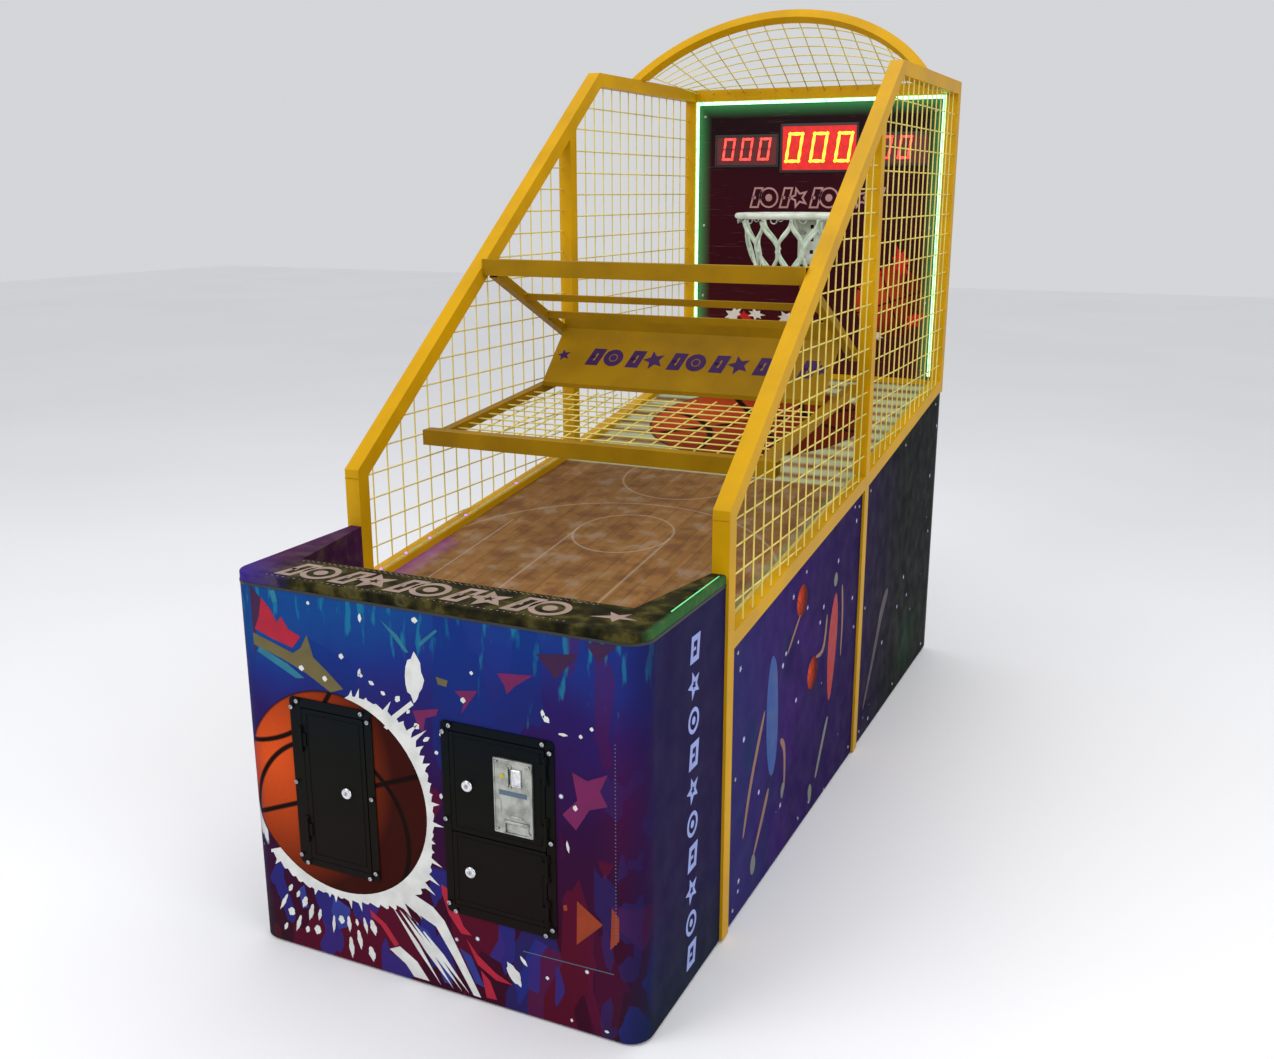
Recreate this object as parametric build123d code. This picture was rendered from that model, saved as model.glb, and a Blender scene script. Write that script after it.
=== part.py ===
from build123d import *
import math
import os

# Arcade basketball hoop machine. Millimetres, +X to the player's right, +Y away from the
# player, +Z up. The origin is on the floor, under the middle of the whole machine.
# A "depth" is measured back from the cabinet's front face, and y_at() turns it into Y.

# --- Driving dimensions -------------------------------------------------------------
LENGTH = 2580.0  # cabinet face to the back of the cage
PROUD = 13.0  # how far the coin return button stands in front of the cabinet face
CAGE_HALF = 500.0  # half the cage's width
CABINET_HALF = 493.0  # half the cabinet's width
CABINET_DEPTH = 422.0
LEDGE_TOP = 893.0
LEDGE_THICK = 20.0
CORNER_RADIUS = 50.0
WALL_THICK = 15.0  # cabinet board
PANEL_THICK = 18.0
FLOOR_GAP = 6.0  # boards stop this far above the floor

TUBE = 40.0  # square cage tube
TUBE_WALL = 2.0
KNEE_HEIGHT = 1033.0  # where the front post turns into the diagonal
TOP_CORNER_DEPTH = 1746.0  # where the diagonal turns into the top tube
CAGE_TOP = 2043.0
CAGE_BASE = 984.0  # foot of the rear posts
MID_POST_DEPTH = 1542.0
RAIL_LINE = ((422.0, 708.0), (1582.0, 845.0), (2580.0, 994.0))  # bottom rail's under side
PLAYFIELD_RISE = 22.0  # court surface above the rail's under side
PLAYFIELD_THICK = 15.0

WIRE = 4.0  # mesh wire diameter
WIRE_GAP = 0.02  # between the two layers of a mesh
MESH_PITCH = 64.0
UPRIGHT_WIRE_X = 495.0  # outer layer of the side mesh

ARCH_RISE = 260.0  # in the arch's own plane
ARCH_LEAN = 35.0  # degrees that this plane leans back
ARCH_SPAN_HALF = 500.0
ARCH_TUBE = 30.0
ARCH_DEPTH = 2052.0

GUARD_DEPTH = 1015.0  # front of the upper crossbar
GUARD_BASE = 1462.0
GUARD_HEIGHT = 43.0
ARM_TUBE = 25.0
NET_BAR_DEPTH = 741.0  # front of the lower crossbar
NET_BAR_BASE = 1037.0
SIGN_THICK = 2.5

BOARD_FACE = 2552.0  # depth of the backboard's front
BOARD_THICK = 10.0
SILL_BASE = 1010.0
SILL_TOP = 1028.0
RING_RADIUS = 185.0
RING_BAR = 10.0  # radius of the ring's bar
RING_DEPTH = 2300.0
RING_HEIGHT = 1603.0

FRAME_FACE = -3.0  # depth of the door bezels' front
LEAF_FACE = -4.0
LEAF_BACK = -1.0
HINGE_DEPTH = -7.0
KNUCKLE_RADIUS = 3.5
PIN_RADIUS = 2.0
RUNNING = 0.05  # radial clearance of hinges and lock plugs
LEAF_GAP = 2.0  # round each door leaf
LIP = 6.0  # what a leaf closes against
RETURN_DEPTH = 20.0  # how far a bezel reaches into the cabinet
SCREW_RADIUS = 2.0

LOCK_RADIUS = 9.5
COLLAR_RADIUS = 13.0
PLUG_RADIUS = 5.45
CAM_DEPTH = 20.5
CAM_THICK = 2.5
CAM_WIDTH = 16.0

# Rectangles on the cabinet's face: left, right, bottom, top
SERVICE_BEZEL = (-352.0, -137.0, 227.0, 629.0)
SERVICE_LEAF = (-320.0, -158.0, 245.0, 606.0)
COIN_BEZEL = (37.0, 300.0, 206.0, 645.0)
UPPER_LEAF = (57.0, 279.0, 401.5, 624.0)
LOWER_LEAF = (57.0, 279.0, 229.0, 398.5)
COIN_PLATE = (163.0, 253.0, 425.0, 590.0)
RETURN_BUTTON = (207.0, 229.0, 534.0, 572.0)
COIN_SLOT = (200.0, 203.5, 536.0, 570.0)
RETURN_CUP = (190.5, 239.5, 428.0, 448.0)
SERVICE_LOCK = (-209.0, 428.0)
UPPER_LOCK = (99.0, 511.0)
LOWER_LOCK = (100.0, 314.0)
SERVICE_CAM = 62.0  # reach past the bezel's return
COIN_CAM = 50.0

MIDDLE = (LENGTH - PROUD) / 2
POST_BACK = CABINET_DEPTH + TUBE
MID_POST_BACK = MID_POST_DEPTH + TUBE
REAR_POST_FRONT = LENGTH - TUBE
INNER_HALF = CAGE_HALF - TUBE
SLOPE = (CAGE_TOP - KNEE_HEIGHT) / (TOP_CORNER_DEPTH - CABINET_DEPTH)
SLOPE_COS = math.cos(math.atan(SLOPE))
LEDGE_UNDER = LEDGE_TOP - LEDGE_THICK


# --- Helpers --------------------------------------------------------------------------
def y_at(depth):
    """Y of a depth behind the cabinet's face."""
    return depth - MIDDLE


def block(x0, x1, depth0, depth1, z0, z1):
    """A box between two X, two depths and two heights."""
    middle = Pos((x0 + x1) / 2, y_at((depth0 + depth1) / 2), (z0 + z1) / 2)
    return middle * Box(x1 - x0, depth1 - depth0, z1 - z0)


def hollow_block(x0, x1, depth0, depth1, z0, z1, wall=TUBE_WALL):
    """A square tube along X, open at both ends."""
    core = block(x0, x1, depth0 + wall, depth1 - wall, z0 + wall, z1 - wall)
    return block(x0, x1, depth0, depth1, z0, z1) - core


def side_prism(outline, x0, x1):
    """An outline of (depth, height) points, extruded from x0 to x1."""
    sheet = Plane(origin=(x0, -MIDDLE, 0), x_dir=(0, 1, 0), z_dir=(1, 0, 0))
    return extrude(sheet * make_face(Polyline(*outline, close=True)), x1 - x0)


def face_prism(sketch, depth0, depth1):
    """A sketch of (x, height), extruded from one depth to another."""
    sheet = Plane(origin=(0, y_at(depth1), 0), x_dir=(1, 0, 0), z_dir=(0, -1, 0))
    return extrude(sheet * sketch, depth1 - depth0)


def plan_prism(outline, z0, z1):
    """An outline of (x, depth) points, extruded from z0 to z1."""
    points = [(x, y_at(depth)) for x, depth in outline]
    return extrude(Pos(0, 0, z0) * make_face(Polyline(*points, close=True)), z1 - z0)


def plate(rectangle, radius=0.0, grow=0.0):
    """A rectangle on the cabinet's face, as a sketch with rounded corners."""
    x0, x1, z0, z1 = rectangle
    width = x1 - x0 + 2 * grow
    height = z1 - z0 + 2 * grow
    shape = RectangleRounded(width, height, radius) if radius else Rectangle(width, height)
    return Pos((x0 + x1) / 2, (z0 + z1) / 2) * shape


def rod(start, end, radius):
    """A round bar between two points, each (x, depth, height)."""
    a, b = (Vector(x, y_at(depth), z) for x, depth, z in (start, end))
    bottom = (Align.CENTER, Align.CENTER, Align.MIN)
    return Plane(a, z_dir=b - a) * Cylinder(radius, (b - a).length, align=bottom)


def across(x, z, depth0, depth1, radius):
    """A round bar that points into the cabinet."""
    return rod((x, depth0, z), (x, depth1, z), radius)


def rail_under(depth):
    """Height of the bottom rail's under side."""
    start, bend, end = RAIL_LINE
    (d0, z0), (d1, z1) = (start, bend) if depth < bend[0] else (bend, end)
    return z0 + (depth - d0) * (z1 - z0) / (d1 - d0)


def diagonal_top(depth):
    return KNEE_HEIGHT + (depth - CABINET_DEPTH) * SLOPE


def diagonal_under(depth):
    return diagonal_top(depth) - TUBE / SLOPE_COS


def mirrored(shape):
    return mirror(shape, about=Plane.YZ)


def group(shapes):
    """Separate solids that share one node."""
    return Compound([solid for shape in shapes for solid in shape.solids()])


# --- Cage -------------------------------------------------------------------------------
CAGE_PATH = (
    (CABINET_DEPTH, FLOOR_GAP),
    (CABINET_DEPTH, KNEE_HEIGHT),
    (TOP_CORNER_DEPTH, CAGE_TOP),
    (LENGTH, CAGE_TOP),
    (LENGTH, CAGE_BASE),
)


def inward_normal(index):
    """Unit normal of one run of the cage's outline, pointing into the cage."""
    (d0, z0), (d1, z1) = CAGE_PATH[index], CAGE_PATH[index + 1]
    length = math.hypot(d1 - d0, z1 - z0)
    return (z1 - z0) / length, (d0 - d1) / length


def inset_point(index, inset):
    """A corner of the cage's outline, moved in by inset along its mitre."""
    first = inward_normal(max(index - 1, 0))
    second = inward_normal(min(index, len(CAGE_PATH) - 2))
    scale = inset / (1 + first[0] * second[0] + first[1] * second[1])
    corner = CAGE_PATH[index]
    return corner[0] + scale * (first[0] + second[0]), corner[1] + scale * (first[1] + second[1])


def cage_run(index):
    """One mitred tube of the right-hand cage frame, hollow and open at its ends."""

    def outline(outer, inner):
        ends = (index, index + 1)
        return [inset_point(i, outer) for i in ends] + [inset_point(i, inner) for i in ends[::-1]]

    skin = side_prism(outline(0, TUBE), INNER_HALF, CAGE_HALF)
    core = outline(TUBE_WALL, TUBE - TUBE_WALL)
    return skin - side_prism(core, INNER_HALF + TUBE_WALL, CAGE_HALF - TUBE_WALL)


def sloped_tube(depth0, depth1, under, rise, x0, x1):
    """A tube whose under side follows a line, cut upright at both ends."""

    def outline(low, high):
        return [
            (depth0, under(depth0) + low),
            (depth1, under(depth1) + low),
            (depth1, under(depth1) + high),
            (depth0, under(depth0) + high),
        ]

    skin = side_prism(outline(0, rise), x0, x1)
    core = outline(TUBE_WALL, rise - TUBE_WALL)
    return skin - side_prism(core, x0 + TUBE_WALL, x1 - TUBE_WALL)


def mid_post():
    """The post at the joint of the two sections, cut to the slope of the diagonal."""

    def outline(wall):
        front, back = MID_POST_DEPTH + wall, MID_POST_BACK - wall
        corners = [(front, FLOOR_GAP), (back, FLOOR_GAP)]
        return corners + [(back, diagonal_under(back)), (front, diagonal_under(front))]

    core = side_prism(outline(TUBE_WALL), INNER_HALF + TUBE_WALL, CAGE_HALF - TUBE_WALL)
    return side_prism(outline(0), INNER_HALF, CAGE_HALF) - core


def bottom_rail():
    """The sloped rail under the mesh, in two lengths."""
    spans = ((POST_BACK, MID_POST_DEPTH), (MID_POST_BACK, REAR_POST_FRONT))
    return group(
        sloped_tube(front, back, rail_under, TUBE, INNER_HALF, CAGE_HALF) for front, back in spans
    )


def cut_between(wire, depth0, depth1):
    """A sloped wire with its ends cut square at two depths."""
    return wire & block(-CAGE_HALF, CAGE_HALF, depth0, depth1, 0, CAGE_TOP + ARCH_RISE)


def even_steps(start, end, pitch):
    """Places between two ends, spaced as near to pitch as divides the length evenly."""
    count = round((end - start) / pitch)
    return [start + (end - start) * i / count for i in range(1, count)]


def side_mesh():
    """Two bays of welded mesh: upright wires outside, level wires inside."""
    top = CAGE_TOP - TUBE
    level_x = UPRIGHT_WIRE_X - WIRE - WIRE_GAP
    trim = WIRE / 2 * SLOPE + 0.2  # keeps a square-cut wire end clear of the sloped tube
    wires = []
    for front, back in ((POST_BACK, MID_POST_DEPTH), (MID_POST_BACK, REAR_POST_FRONT)):
        for depth in even_steps(front, back, MESH_PITCH):
            low = rail_under(depth) + TUBE + trim
            high = min(diagonal_under(depth) - trim, top)
            wires.append(rod((UPRIGHT_WIRE_X, depth, low), (UPRIGHT_WIRE_X, depth, high), WIRE / 2))
        for height in even_steps(rail_under(front) + TUBE, top, MESH_PITCH):
            reach = mesh_reach(height, front, back)
            if reach:
                wires.append(rod((level_x, reach[0], height), (level_x, reach[1], height), WIRE / 2))
    return group(wires)


def mesh_reach(height, front, back):
    """The depths between which a level wire runs, or None where the bay is too low."""
    margin = WIRE
    start = CABINET_DEPTH + (height + TUBE / SLOPE_COS - KNEE_HEIGHT) / SLOPE
    start = max(front, start + margin)
    ends = [depth for depth in range(int(front), int(back) + 1) if rail_under(depth) + TUBE + margin < height]
    end = back if ends and ends[-1] >= back - 1 else (ends[-1] if ends else front)
    return (start, end) if end - start > TUBE else None


# --- Roof -------------------------------------------------------------------------------
ARCH_RADIUS = (ARCH_SPAN_HALF**2 + ARCH_RISE**2) / (2 * ARCH_RISE)
ARCH_CENTRE = CAGE_TOP + ARCH_RISE - ARCH_RADIUS


def leaned(shape):
    """A shape drawn upright at the arch's foot, leaned back with the arch."""
    foot = Axis((0, y_at(ARCH_DEPTH), CAGE_TOP), (1, 0, 0))
    return shape.rotate(foot, -ARCH_LEAN)


def arch_band(outer, inner):
    """The part of a ring above the foot, as a sketch that runs on a little below it."""
    ring = Pos(0, ARCH_CENTRE) * (Circle(outer) - Circle(inner))
    height = ARCH_RISE + 2 * TUBE
    return ring & (Pos(0, CAGE_TOP - TUBE + height / 2) * Rectangle(2 * ARCH_SPAN_HALF, height))


def roof_arch():
    skin = arch_band(ARCH_RADIUS, ARCH_RADIUS - ARCH_TUBE)
    core = arch_band(ARCH_RADIUS - TUBE_WALL, ARCH_RADIUS - ARCH_TUBE + TUBE_WALL)
    back = ARCH_DEPTH + ARCH_TUBE
    hollow = face_prism(core, ARCH_DEPTH + TUBE_WALL, back - TUBE_WALL)
    tube = leaned(face_prism(skin, ARCH_DEPTH, back) - hollow)
    above = block(-CAGE_HALF, CAGE_HALF, ARCH_DEPTH - TUBE, REAR_POST_FRONT, CAGE_TOP, CAGE_TOP + ARCH_RISE)
    return tube & above


def roof_point(x, share):
    """A point of the roof mesh, from the arch's rear face (share 0) to the backboard's bar (share 1)."""
    lean = math.radians(ARCH_LEAN)
    up = math.sqrt((ARCH_RADIUS - ARCH_TUBE / 2) ** 2 - x**2) + ARCH_RISE - ARCH_RADIUS
    depth = ARCH_DEPTH + up * math.sin(lean) + ARCH_TUBE * math.cos(lean)
    height = CAGE_TOP + up * math.cos(lean) - ARCH_TUBE * math.sin(lean)
    return Vector(
        x, depth + (REAR_POST_FRONT - depth) * share, height + (CAGE_TOP - TUBE / 3 - height) * share
    )


def roof_lifted(x, share, lift):
    """A point of the roof mesh, raised square to it."""
    step = 0.5
    across = roof_point(x + step, share) - roof_point(x - step, share)
    along = roof_point(x, 1.0) - roof_point(x, 0.0)
    return roof_point(x, share) + across.cross(along).normalized() * lift


def roof_mesh():
    """Straight wires from the arch to the rear bar, and bowed wires lying on them."""
    half, lengthwise, bowed = 450.0, 16, 7
    start = ARCH_DEPTH + ARCH_TUBE
    behind_arch = leaned(block(-CAGE_HALF, CAGE_HALF, start, start + 600, CAGE_TOP - 300, CAGE_TOP + 600))
    wires = []
    for i in range(lengthwise):
        x = -half + 2 * half * i / (lengthwise - 1)
        over = 0.01  # share of the length by which the wire runs past both ends before the cut
        wire = rod(roof_point(x, -over), roof_point(x, 1 + over), WIRE / 2)
        wires.append(cut_between(wire & behind_arch, ARCH_DEPTH, REAR_POST_FRONT))
    for i in range(1, bowed + 1):
        share = i / (bowed + 1)
        points = [roof_lifted(x, share, WIRE * 1.02) for x in (-450, -270, -90, 90, 270, 450)]
        bow = Spline(*((point.X, y_at(point.Y), point.Z) for point in points))
        wires.append(sweep((bow ^ 0) * Circle(WIRE / 2), path=bow))
    return group(wires)


# --- Guard and lower net ----------------------------------------------------------------
ARM_START = GUARD_DEPTH + TUBE
ARM_RISE = ARM_TUBE * 1.1


def arm_under(depth):
    """Under side of the guard's side arms, falling from the crossbar to the mid posts."""
    return 1454.0 - (depth - ARM_START) * 0.489


def net_under(depth):
    """Under side of the net frame's side bars."""
    return 1050.0 + (depth - NET_BAR_DEPTH - TUBE) * 0.0946


def upper_crossbar():
    top = GUARD_BASE + GUARD_HEIGHT
    return hollow_block(-INNER_HALF, INNER_HALF, GUARD_DEPTH, ARM_START, GUARD_BASE, top)


def guard_frame():
    """Two sloped arms with two thin bars welded between them."""
    inner = INNER_HALF - ARM_TUBE
    arm = sloped_tube(ARM_START, MID_POST_DEPTH, arm_under, ARM_RISE, inner, INNER_HALF)
    bars = []
    for depth, size in ((1206.0, 18.0), (1332.0, 20.0)):
        base = arm_under(depth + size / 2) + 6
        bars.append(hollow_block(-inner, inner, depth, depth + size, base, base + size, 1.5))
    return arm + mirrored(arm) + bars[0] + bars[1]


def sign_panel():
    """A folded sheet between the arms: an upright flange over a face sloped at 45 degrees."""
    inner = INNER_HALF - ARM_TUBE
    foot, bend, top = (1297.0, 1134.0), (1443.0, 1280.0), 1318.0
    skew = SIGN_THICK * math.sqrt(2)
    outline = [
        foot,
        bend,
        (bend[0], top),
        (bend[0] + SIGN_THICK, top),
        (bend[0] + SIGN_THICK, bend[1] - skew + SIGN_THICK),
        (foot[0] + skew, foot[1]),
    ]
    return side_prism(outline, -inner, inner)


def net_frame():
    """The lower crossbar, its two side bars and the thin bar under the sign."""
    back = NET_BAR_DEPTH + TUBE
    reach = UPRIGHT_WIRE_X - 1.5 * WIRE - 3 * WIRE_GAP
    inner = INNER_HALF - ARM_TUBE
    front = hollow_block(-reach, reach, NET_BAR_DEPTH, back, NET_BAR_BASE, NET_BAR_BASE + TUBE)
    side = sloped_tube(back, MID_POST_DEPTH, net_under, ARM_TUBE, inner, INNER_HALF)
    bar = 12.0
    sill = block(-inner, inner, 1296.0, 1296.0 + bar, 1134.0 - bar, 1134.0)
    return front + side + mirrored(side) + sill


def net_mesh():
    """Mesh between the lower crossbar and the bar under the sign."""
    front, back = NET_BAR_DEPTH + TUBE, 1296.0
    inner = INNER_HALF - ARM_TUBE
    lift = 12.0

    def height(depth):
        return net_under(depth) + lift

    wires = []
    for x in even_steps(-inner, inner, 62.0):
        wire = rod((x, front - 5, height(front - 5)), (x, back + 5, height(back + 5)), WIRE / 2)
        wires.append(cut_between(wire, front, back))
    for depth in even_steps(front, back, 50.0):
        level = height(depth) + WIRE + WIRE_GAP * 2
        wires.append(rod((-inner, depth, level), (inner, depth, level), WIRE / 2))
    return group(wires)


# --- Backboard and hoop -------------------------------------------------------------------
DISPLAYS = ((-380.0, -142.0, 1775.0, 1880.0), (-127.0, 154.0, 1755.0, 1915.0), (170.0, 408.0, 1775.0, 1880.0))


def backboard_frame():
    """The tube over the board and the angle under it."""
    top = hollow_block(-INNER_HALF, INNER_HALF, REAR_POST_FRONT, LENGTH, CAGE_TOP - TUBE, CAGE_TOP)
    sill = block(-INNER_HALF, INNER_HALF, REAR_POST_FRONT, BOARD_FACE + BOARD_THICK, SILL_BASE, SILL_TOP)
    return group([top, sill])


def backboard():
    board = block(-INNER_HALF, INNER_HALF, BOARD_FACE, BOARD_FACE + BOARD_THICK, SILL_TOP, CAGE_TOP - TUBE)
    for display in DISPLAYS:
        board -= face_prism(plate(display), BOARD_FACE, BOARD_FACE + BOARD_THICK)
    return board


def score_displays():
    """Three display modules set through the board, each with a raised window rim."""
    modules = []
    for display in DISPLAYS:
        rim = face_prism(plate(display, 4.0, 5.0), BOARD_FACE - 4, BOARD_FACE)
        body = face_prism(plate(display), BOARD_FACE, BOARD_FACE + 22)
        window = face_prism(plate(display, 3.0, -6.0), BOARD_FACE - 4, BOARD_FACE - 2)
        modules.append(rim + body - window)
    return group(modules)


def led_strips():
    """Light strips round the board on three sides and on the inside of both bottom rails."""
    side, top, width, thick = INNER_HALF, CAGE_TOP - TUBE, 14.0, 8.0
    front = BOARD_FACE - thick
    upright = block(side - width, side, front, BOARD_FACE, SILL_TOP, top)
    cap = block(-side + width, side - width, front, BOARD_FACE, top - width, top)
    rail = sloped_tube(POST_BACK, MID_POST_DEPTH, lambda d: rail_under(d) + TUBE, 7.0, side + 2, side + 12)
    return group([upright, mirrored(upright), cap, rail, mirrored(rail)])


def hoop_ring():
    return Pos(0, y_at(RING_DEPTH), RING_HEIGHT) * Torus(RING_RADIUS, RING_BAR)


def hoop_mount():
    """Wall plate with a shelf that carries the ring, two gussets and a row of square holes."""
    half, thick, foot = 52.0, 6.0, 1385.0
    shelf_top = RING_HEIGHT - RING_BAR
    shelf_front = RING_DEPTH + RING_RADIUS - RING_BAR
    mount = block(-half, half, BOARD_FACE - thick, BOARD_FACE, foot, shelf_top)
    mount += block(-half, half, shelf_front, BOARD_FACE, shelf_top - thick, shelf_top)
    gusset = [(BOARD_FACE, shelf_top), (shelf_front, shelf_top), (BOARD_FACE, shelf_top - 90)]
    mount += side_prism(gusset, half - thick, half) + side_prism(gusset, -half, thick - half)
    for height in (1560.0, 1515.0, 1470.0):
        mount -= block(-7, 7, BOARD_FACE - thick, BOARD_FACE, height - 7, height + 7)
    return mount


def hoop_net():
    """The closed outline that the knotted net hangs in."""
    height, wall = 215.0, 5.0
    top = RING_RADIUS - RING_BAR - 1
    outer = Cone(105.0, top, height)
    inner = Cone(105.0 - wall, top - wall, height)
    return Pos(0, y_at(RING_DEPTH), RING_HEIGHT - RING_BAR - height / 2) * (outer - inner)


def ball_sensor():
    """Infrared sensor on the foot of the mounting plate, with two lens barrels."""
    face = BOARD_FACE - 6.0
    body = block(-34, 34, face - 22, face, 1390, 1426)
    lenses = [across(x, 1408, face - 27, face - 22, 7) for x in (-18, 18)]
    return body + lenses[0] + lenses[1]


def backboard_cover():
    """Shallow sheet cover behind the board."""
    front, back = BOARD_FACE + BOARD_THICK, LENGTH - 2
    low, top, half, sheet = SILL_TOP, CAGE_TOP - TUBE, INNER_HALF - 1, 1.5
    pan = block(-half, half, front, back, low, top - 1)
    return pan - block(-half + sheet, half - sheet, front, back - sheet, low + sheet, top - 1 - sheet)


# --- Cabinet ------------------------------------------------------------------------------
RECESS = ((-408.0, 140.0), (408.0, 140.0), (INNER_HALF, CABINET_DEPTH), (-INNER_HALF, CABINET_DEPTH))
SKIRT = 8.0
SKIRT_FOOT = 650.0


def rounded_plan(inset, z0, z1):
    """The cabinet's plan with round front corners, extruded upright."""
    half = CABINET_HALF - inset
    front, back = inset, CABINET_DEPTH
    body = block(-half, half, front, back, z0, z1)
    corners = body.edges().filter_by(Axis.Z).group_by(Axis.Y)[0]
    return fillet(corners, CORNER_RADIUS - inset)


def cabinet_shell():
    """Front wall and both cheeks in one bent board, with the door cut-outs."""
    shell = rounded_plan(0, FLOOR_GAP, LEDGE_UNDER)
    inner = CABINET_HALF - WALL_THICK
    core = rounded_plan(WALL_THICK, FLOOR_GAP, LEDGE_UNDER)
    shell -= core + block(-inner, inner, CABINET_DEPTH - 1, CABINET_DEPTH + 1, FLOOR_GAP, LEDGE_UNDER)
    for opening in (leaf_opening([SERVICE_LEAF]), leaf_opening([UPPER_LEAF, LOWER_LEAF])):
        shell -= face_prism(plate(opening, 0, 3.0), 0, WALL_THICK)
    for x, z in screw_places(SERVICE_BEZEL) + screw_places(COIN_BEZEL):
        shell -= across(x, z, 0, WALL_THICK, SCREW_RADIUS)
    return shell


def recess_outline(grow):
    """The ball recess in plan, its three closed sides moved out by grow."""
    (x0, front), (x1, _), (x2, back), (x3, _) = RECESS
    return [(x0 - grow, front - grow), (x1 + grow, front - grow), (x2 + grow, back), (x3 - grow, back)]


def top_ledge():
    """Ledge round the ball recess, with walls that hang down to the playfield."""
    slab = rounded_plan(0, LEDGE_UNDER, LEDGE_TOP)
    rim = slab.faces().sort_by(Axis.Z)[-1].edges().filter_by(lambda e: e.center().Y < y_at(CABINET_DEPTH) - 1)
    slab = fillet(rim, 4.0)
    skirt = plan_prism(recess_outline(SKIRT), SKIRT_FOOT, LEDGE_UNDER)
    return slab + skirt - plan_prism(recess_outline(0), SKIRT_FOOT, LEDGE_TOP)


def playfield():
    """The court: a front board and a steeper rear board, narrowed to fit the recess."""
    front, bend, back = RECESS[0][1], RAIL_LINE[1][0], REAR_POST_FRONT
    surface = [(d, rail_under(d) + PLAYFIELD_RISE) for d in (front, bend, back)]
    under = [(d, z - PLAYFIELD_THICK) for d, z in surface[::-1]]
    court = side_prism(surface + under, -INNER_HALF, INNER_HALF)
    plan = list(RECESS[:3]) + [(INNER_HALF, back), (-INNER_HALF, back), RECESS[3]]
    return court & plan_prism(plan, SKIRT_FOOT, CAGE_TOP)


def side_panels():
    """The two printed boards of one side, below the bottom rail."""
    back = LENGTH - PANEL_THICK
    front_board = [
        (POST_BACK, FLOOR_GAP),
        (MID_POST_DEPTH, FLOOR_GAP),
        (MID_POST_DEPTH, rail_under(MID_POST_DEPTH)),
        (POST_BACK, rail_under(POST_BACK)),
    ]
    rear_board = [
        (MID_POST_BACK, FLOOR_GAP),
        (back, FLOOR_GAP),
        (back, CAGE_BASE),
        (REAR_POST_FRONT, CAGE_BASE),
        (REAR_POST_FRONT, rail_under(REAR_POST_FRONT)),
        (MID_POST_BACK, rail_under(MID_POST_BACK)),
    ]
    boards = (front_board, rear_board)
    return group(side_prism(board, CABINET_HALF - PANEL_THICK, CABINET_HALF) for board in boards)


INLET = (-334.0, -286.0, 120.0, 196.0)  # left, right, bottom, top
ROCKER = (-320.0, -300.0, 166.0, 186.0)
ROCKER_DEPTH = LENGTH - 8  # of its pivot
ROCKER_AXLE = 1.5


def rear_panel():
    """Lower back board with two banks of vent slots and the mains inlet's cut-out."""
    panel = block(-CABINET_HALF, CABINET_HALF, LENGTH - PANEL_THICK, LENGTH, FLOOR_GAP, CAGE_BASE)
    for bank in (-200.0, 200.0):
        for row in range(6):
            slot = (bank - 90, bank + 90, 700 + row * 24, 708 + row * 24)
            panel -= face_prism(plate(slot, 3.9), LENGTH - PANEL_THICK, LENGTH)
    return panel - face_prism(plate(INLET), LENGTH - PANEL_THICK, LENGTH)


FLOOR_BOARD = (40.0, 58.0)
FEET = [(x, depth) for x in (-400.0, 400.0) for depth in (90.0, 1250.0, 2470.0)]
STEM_RADIUS = 5.0


def base_floor():
    low, top = FLOOR_BOARD
    board = block(-INNER_HALF, INNER_HALF, WALL_THICK, LENGTH - PANEL_THICK, low, top)
    board = fillet(board.edges().filter_by(Axis.Z).group_by(Axis.Y)[0], CORNER_RADIUS - WALL_THICK)
    for x, depth in FEET:
        board -= rod((x, depth, low), (x, depth, top), STEM_RADIUS + RUNNING)
    return board


def levelling_foot(x, depth):
    """Domed pad, threaded stem through the floor board and a jam nut under it."""
    low = FLOOR_BOARD[0]
    pad = rod((x, depth, 0), (x, depth, 9), 22)
    pad = fillet(pad.edges().sort_by(Axis.Z)[-1], 4)
    stem = rod((x, depth, 9), (x, depth, 72), STEM_RADIUS)
    nut = extrude(Pos(x, y_at(depth), low - 7) * RegularPolygon(9.5, 6), 7)
    return pad + stem + nut


# --- Doors --------------------------------------------------------------------------------
def leaf_opening(leaves):
    """The rectangle that a set of leaves fills, with the gap round it."""
    columns = list(zip(*leaves))
    x0, x1, z0, z1 = min(columns[0]), max(columns[1]), min(columns[2]), max(columns[3])
    return x0 - LEAF_GAP, x1 + LEAF_GAP, z0 - LEAF_GAP, z1 + LEAF_GAP


def screw_places(bezel):
    """Ten screws: two near each corner and one half-way up each side."""
    x0, x1, z0, z1 = bezel
    edge, corner = 7.0, 23.0
    places = [(x0 + edge, (z0 + z1) / 2), (x1 - edge, (z0 + z1) / 2)]
    for x, inward in ((x0, 1), (x1, -1)):
        for z, upward in ((z0, 1), (z1, -1)):
            places.append((x + inward * corner, z + upward * edge))
            places.append((x + inward * edge, z + upward * corner))
    return places


def hinge_x(leaf, side):
    """X of the hinge line: side is -1 for a leaf hung on its left and +1 on its right."""
    return (leaf[0] if side < 0 else leaf[1]) + side * 3


def hinge_heights(leaf):
    margin = 0.2 * (leaf[3] - leaf[2])
    return leaf[2] + margin, leaf[3] - margin


def barrel(x, z0, z1, radius):
    return rod((x, HINGE_DEPTH, z0), (x, HINGE_DEPTH, z1), radius)


def leaf_knuckle(x, side, middle):
    """The leaf's knuckle and the tab that joins it to the leaf."""
    low, high = middle - 14.7, middle + 14.7
    tab = block(min(x, x - side * 12), max(x, x - side * 12), HINGE_DEPTH, LEAF_FACE, low, high)
    return barrel(x, low, high, KNUCKLE_RADIUS) + tab


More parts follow.
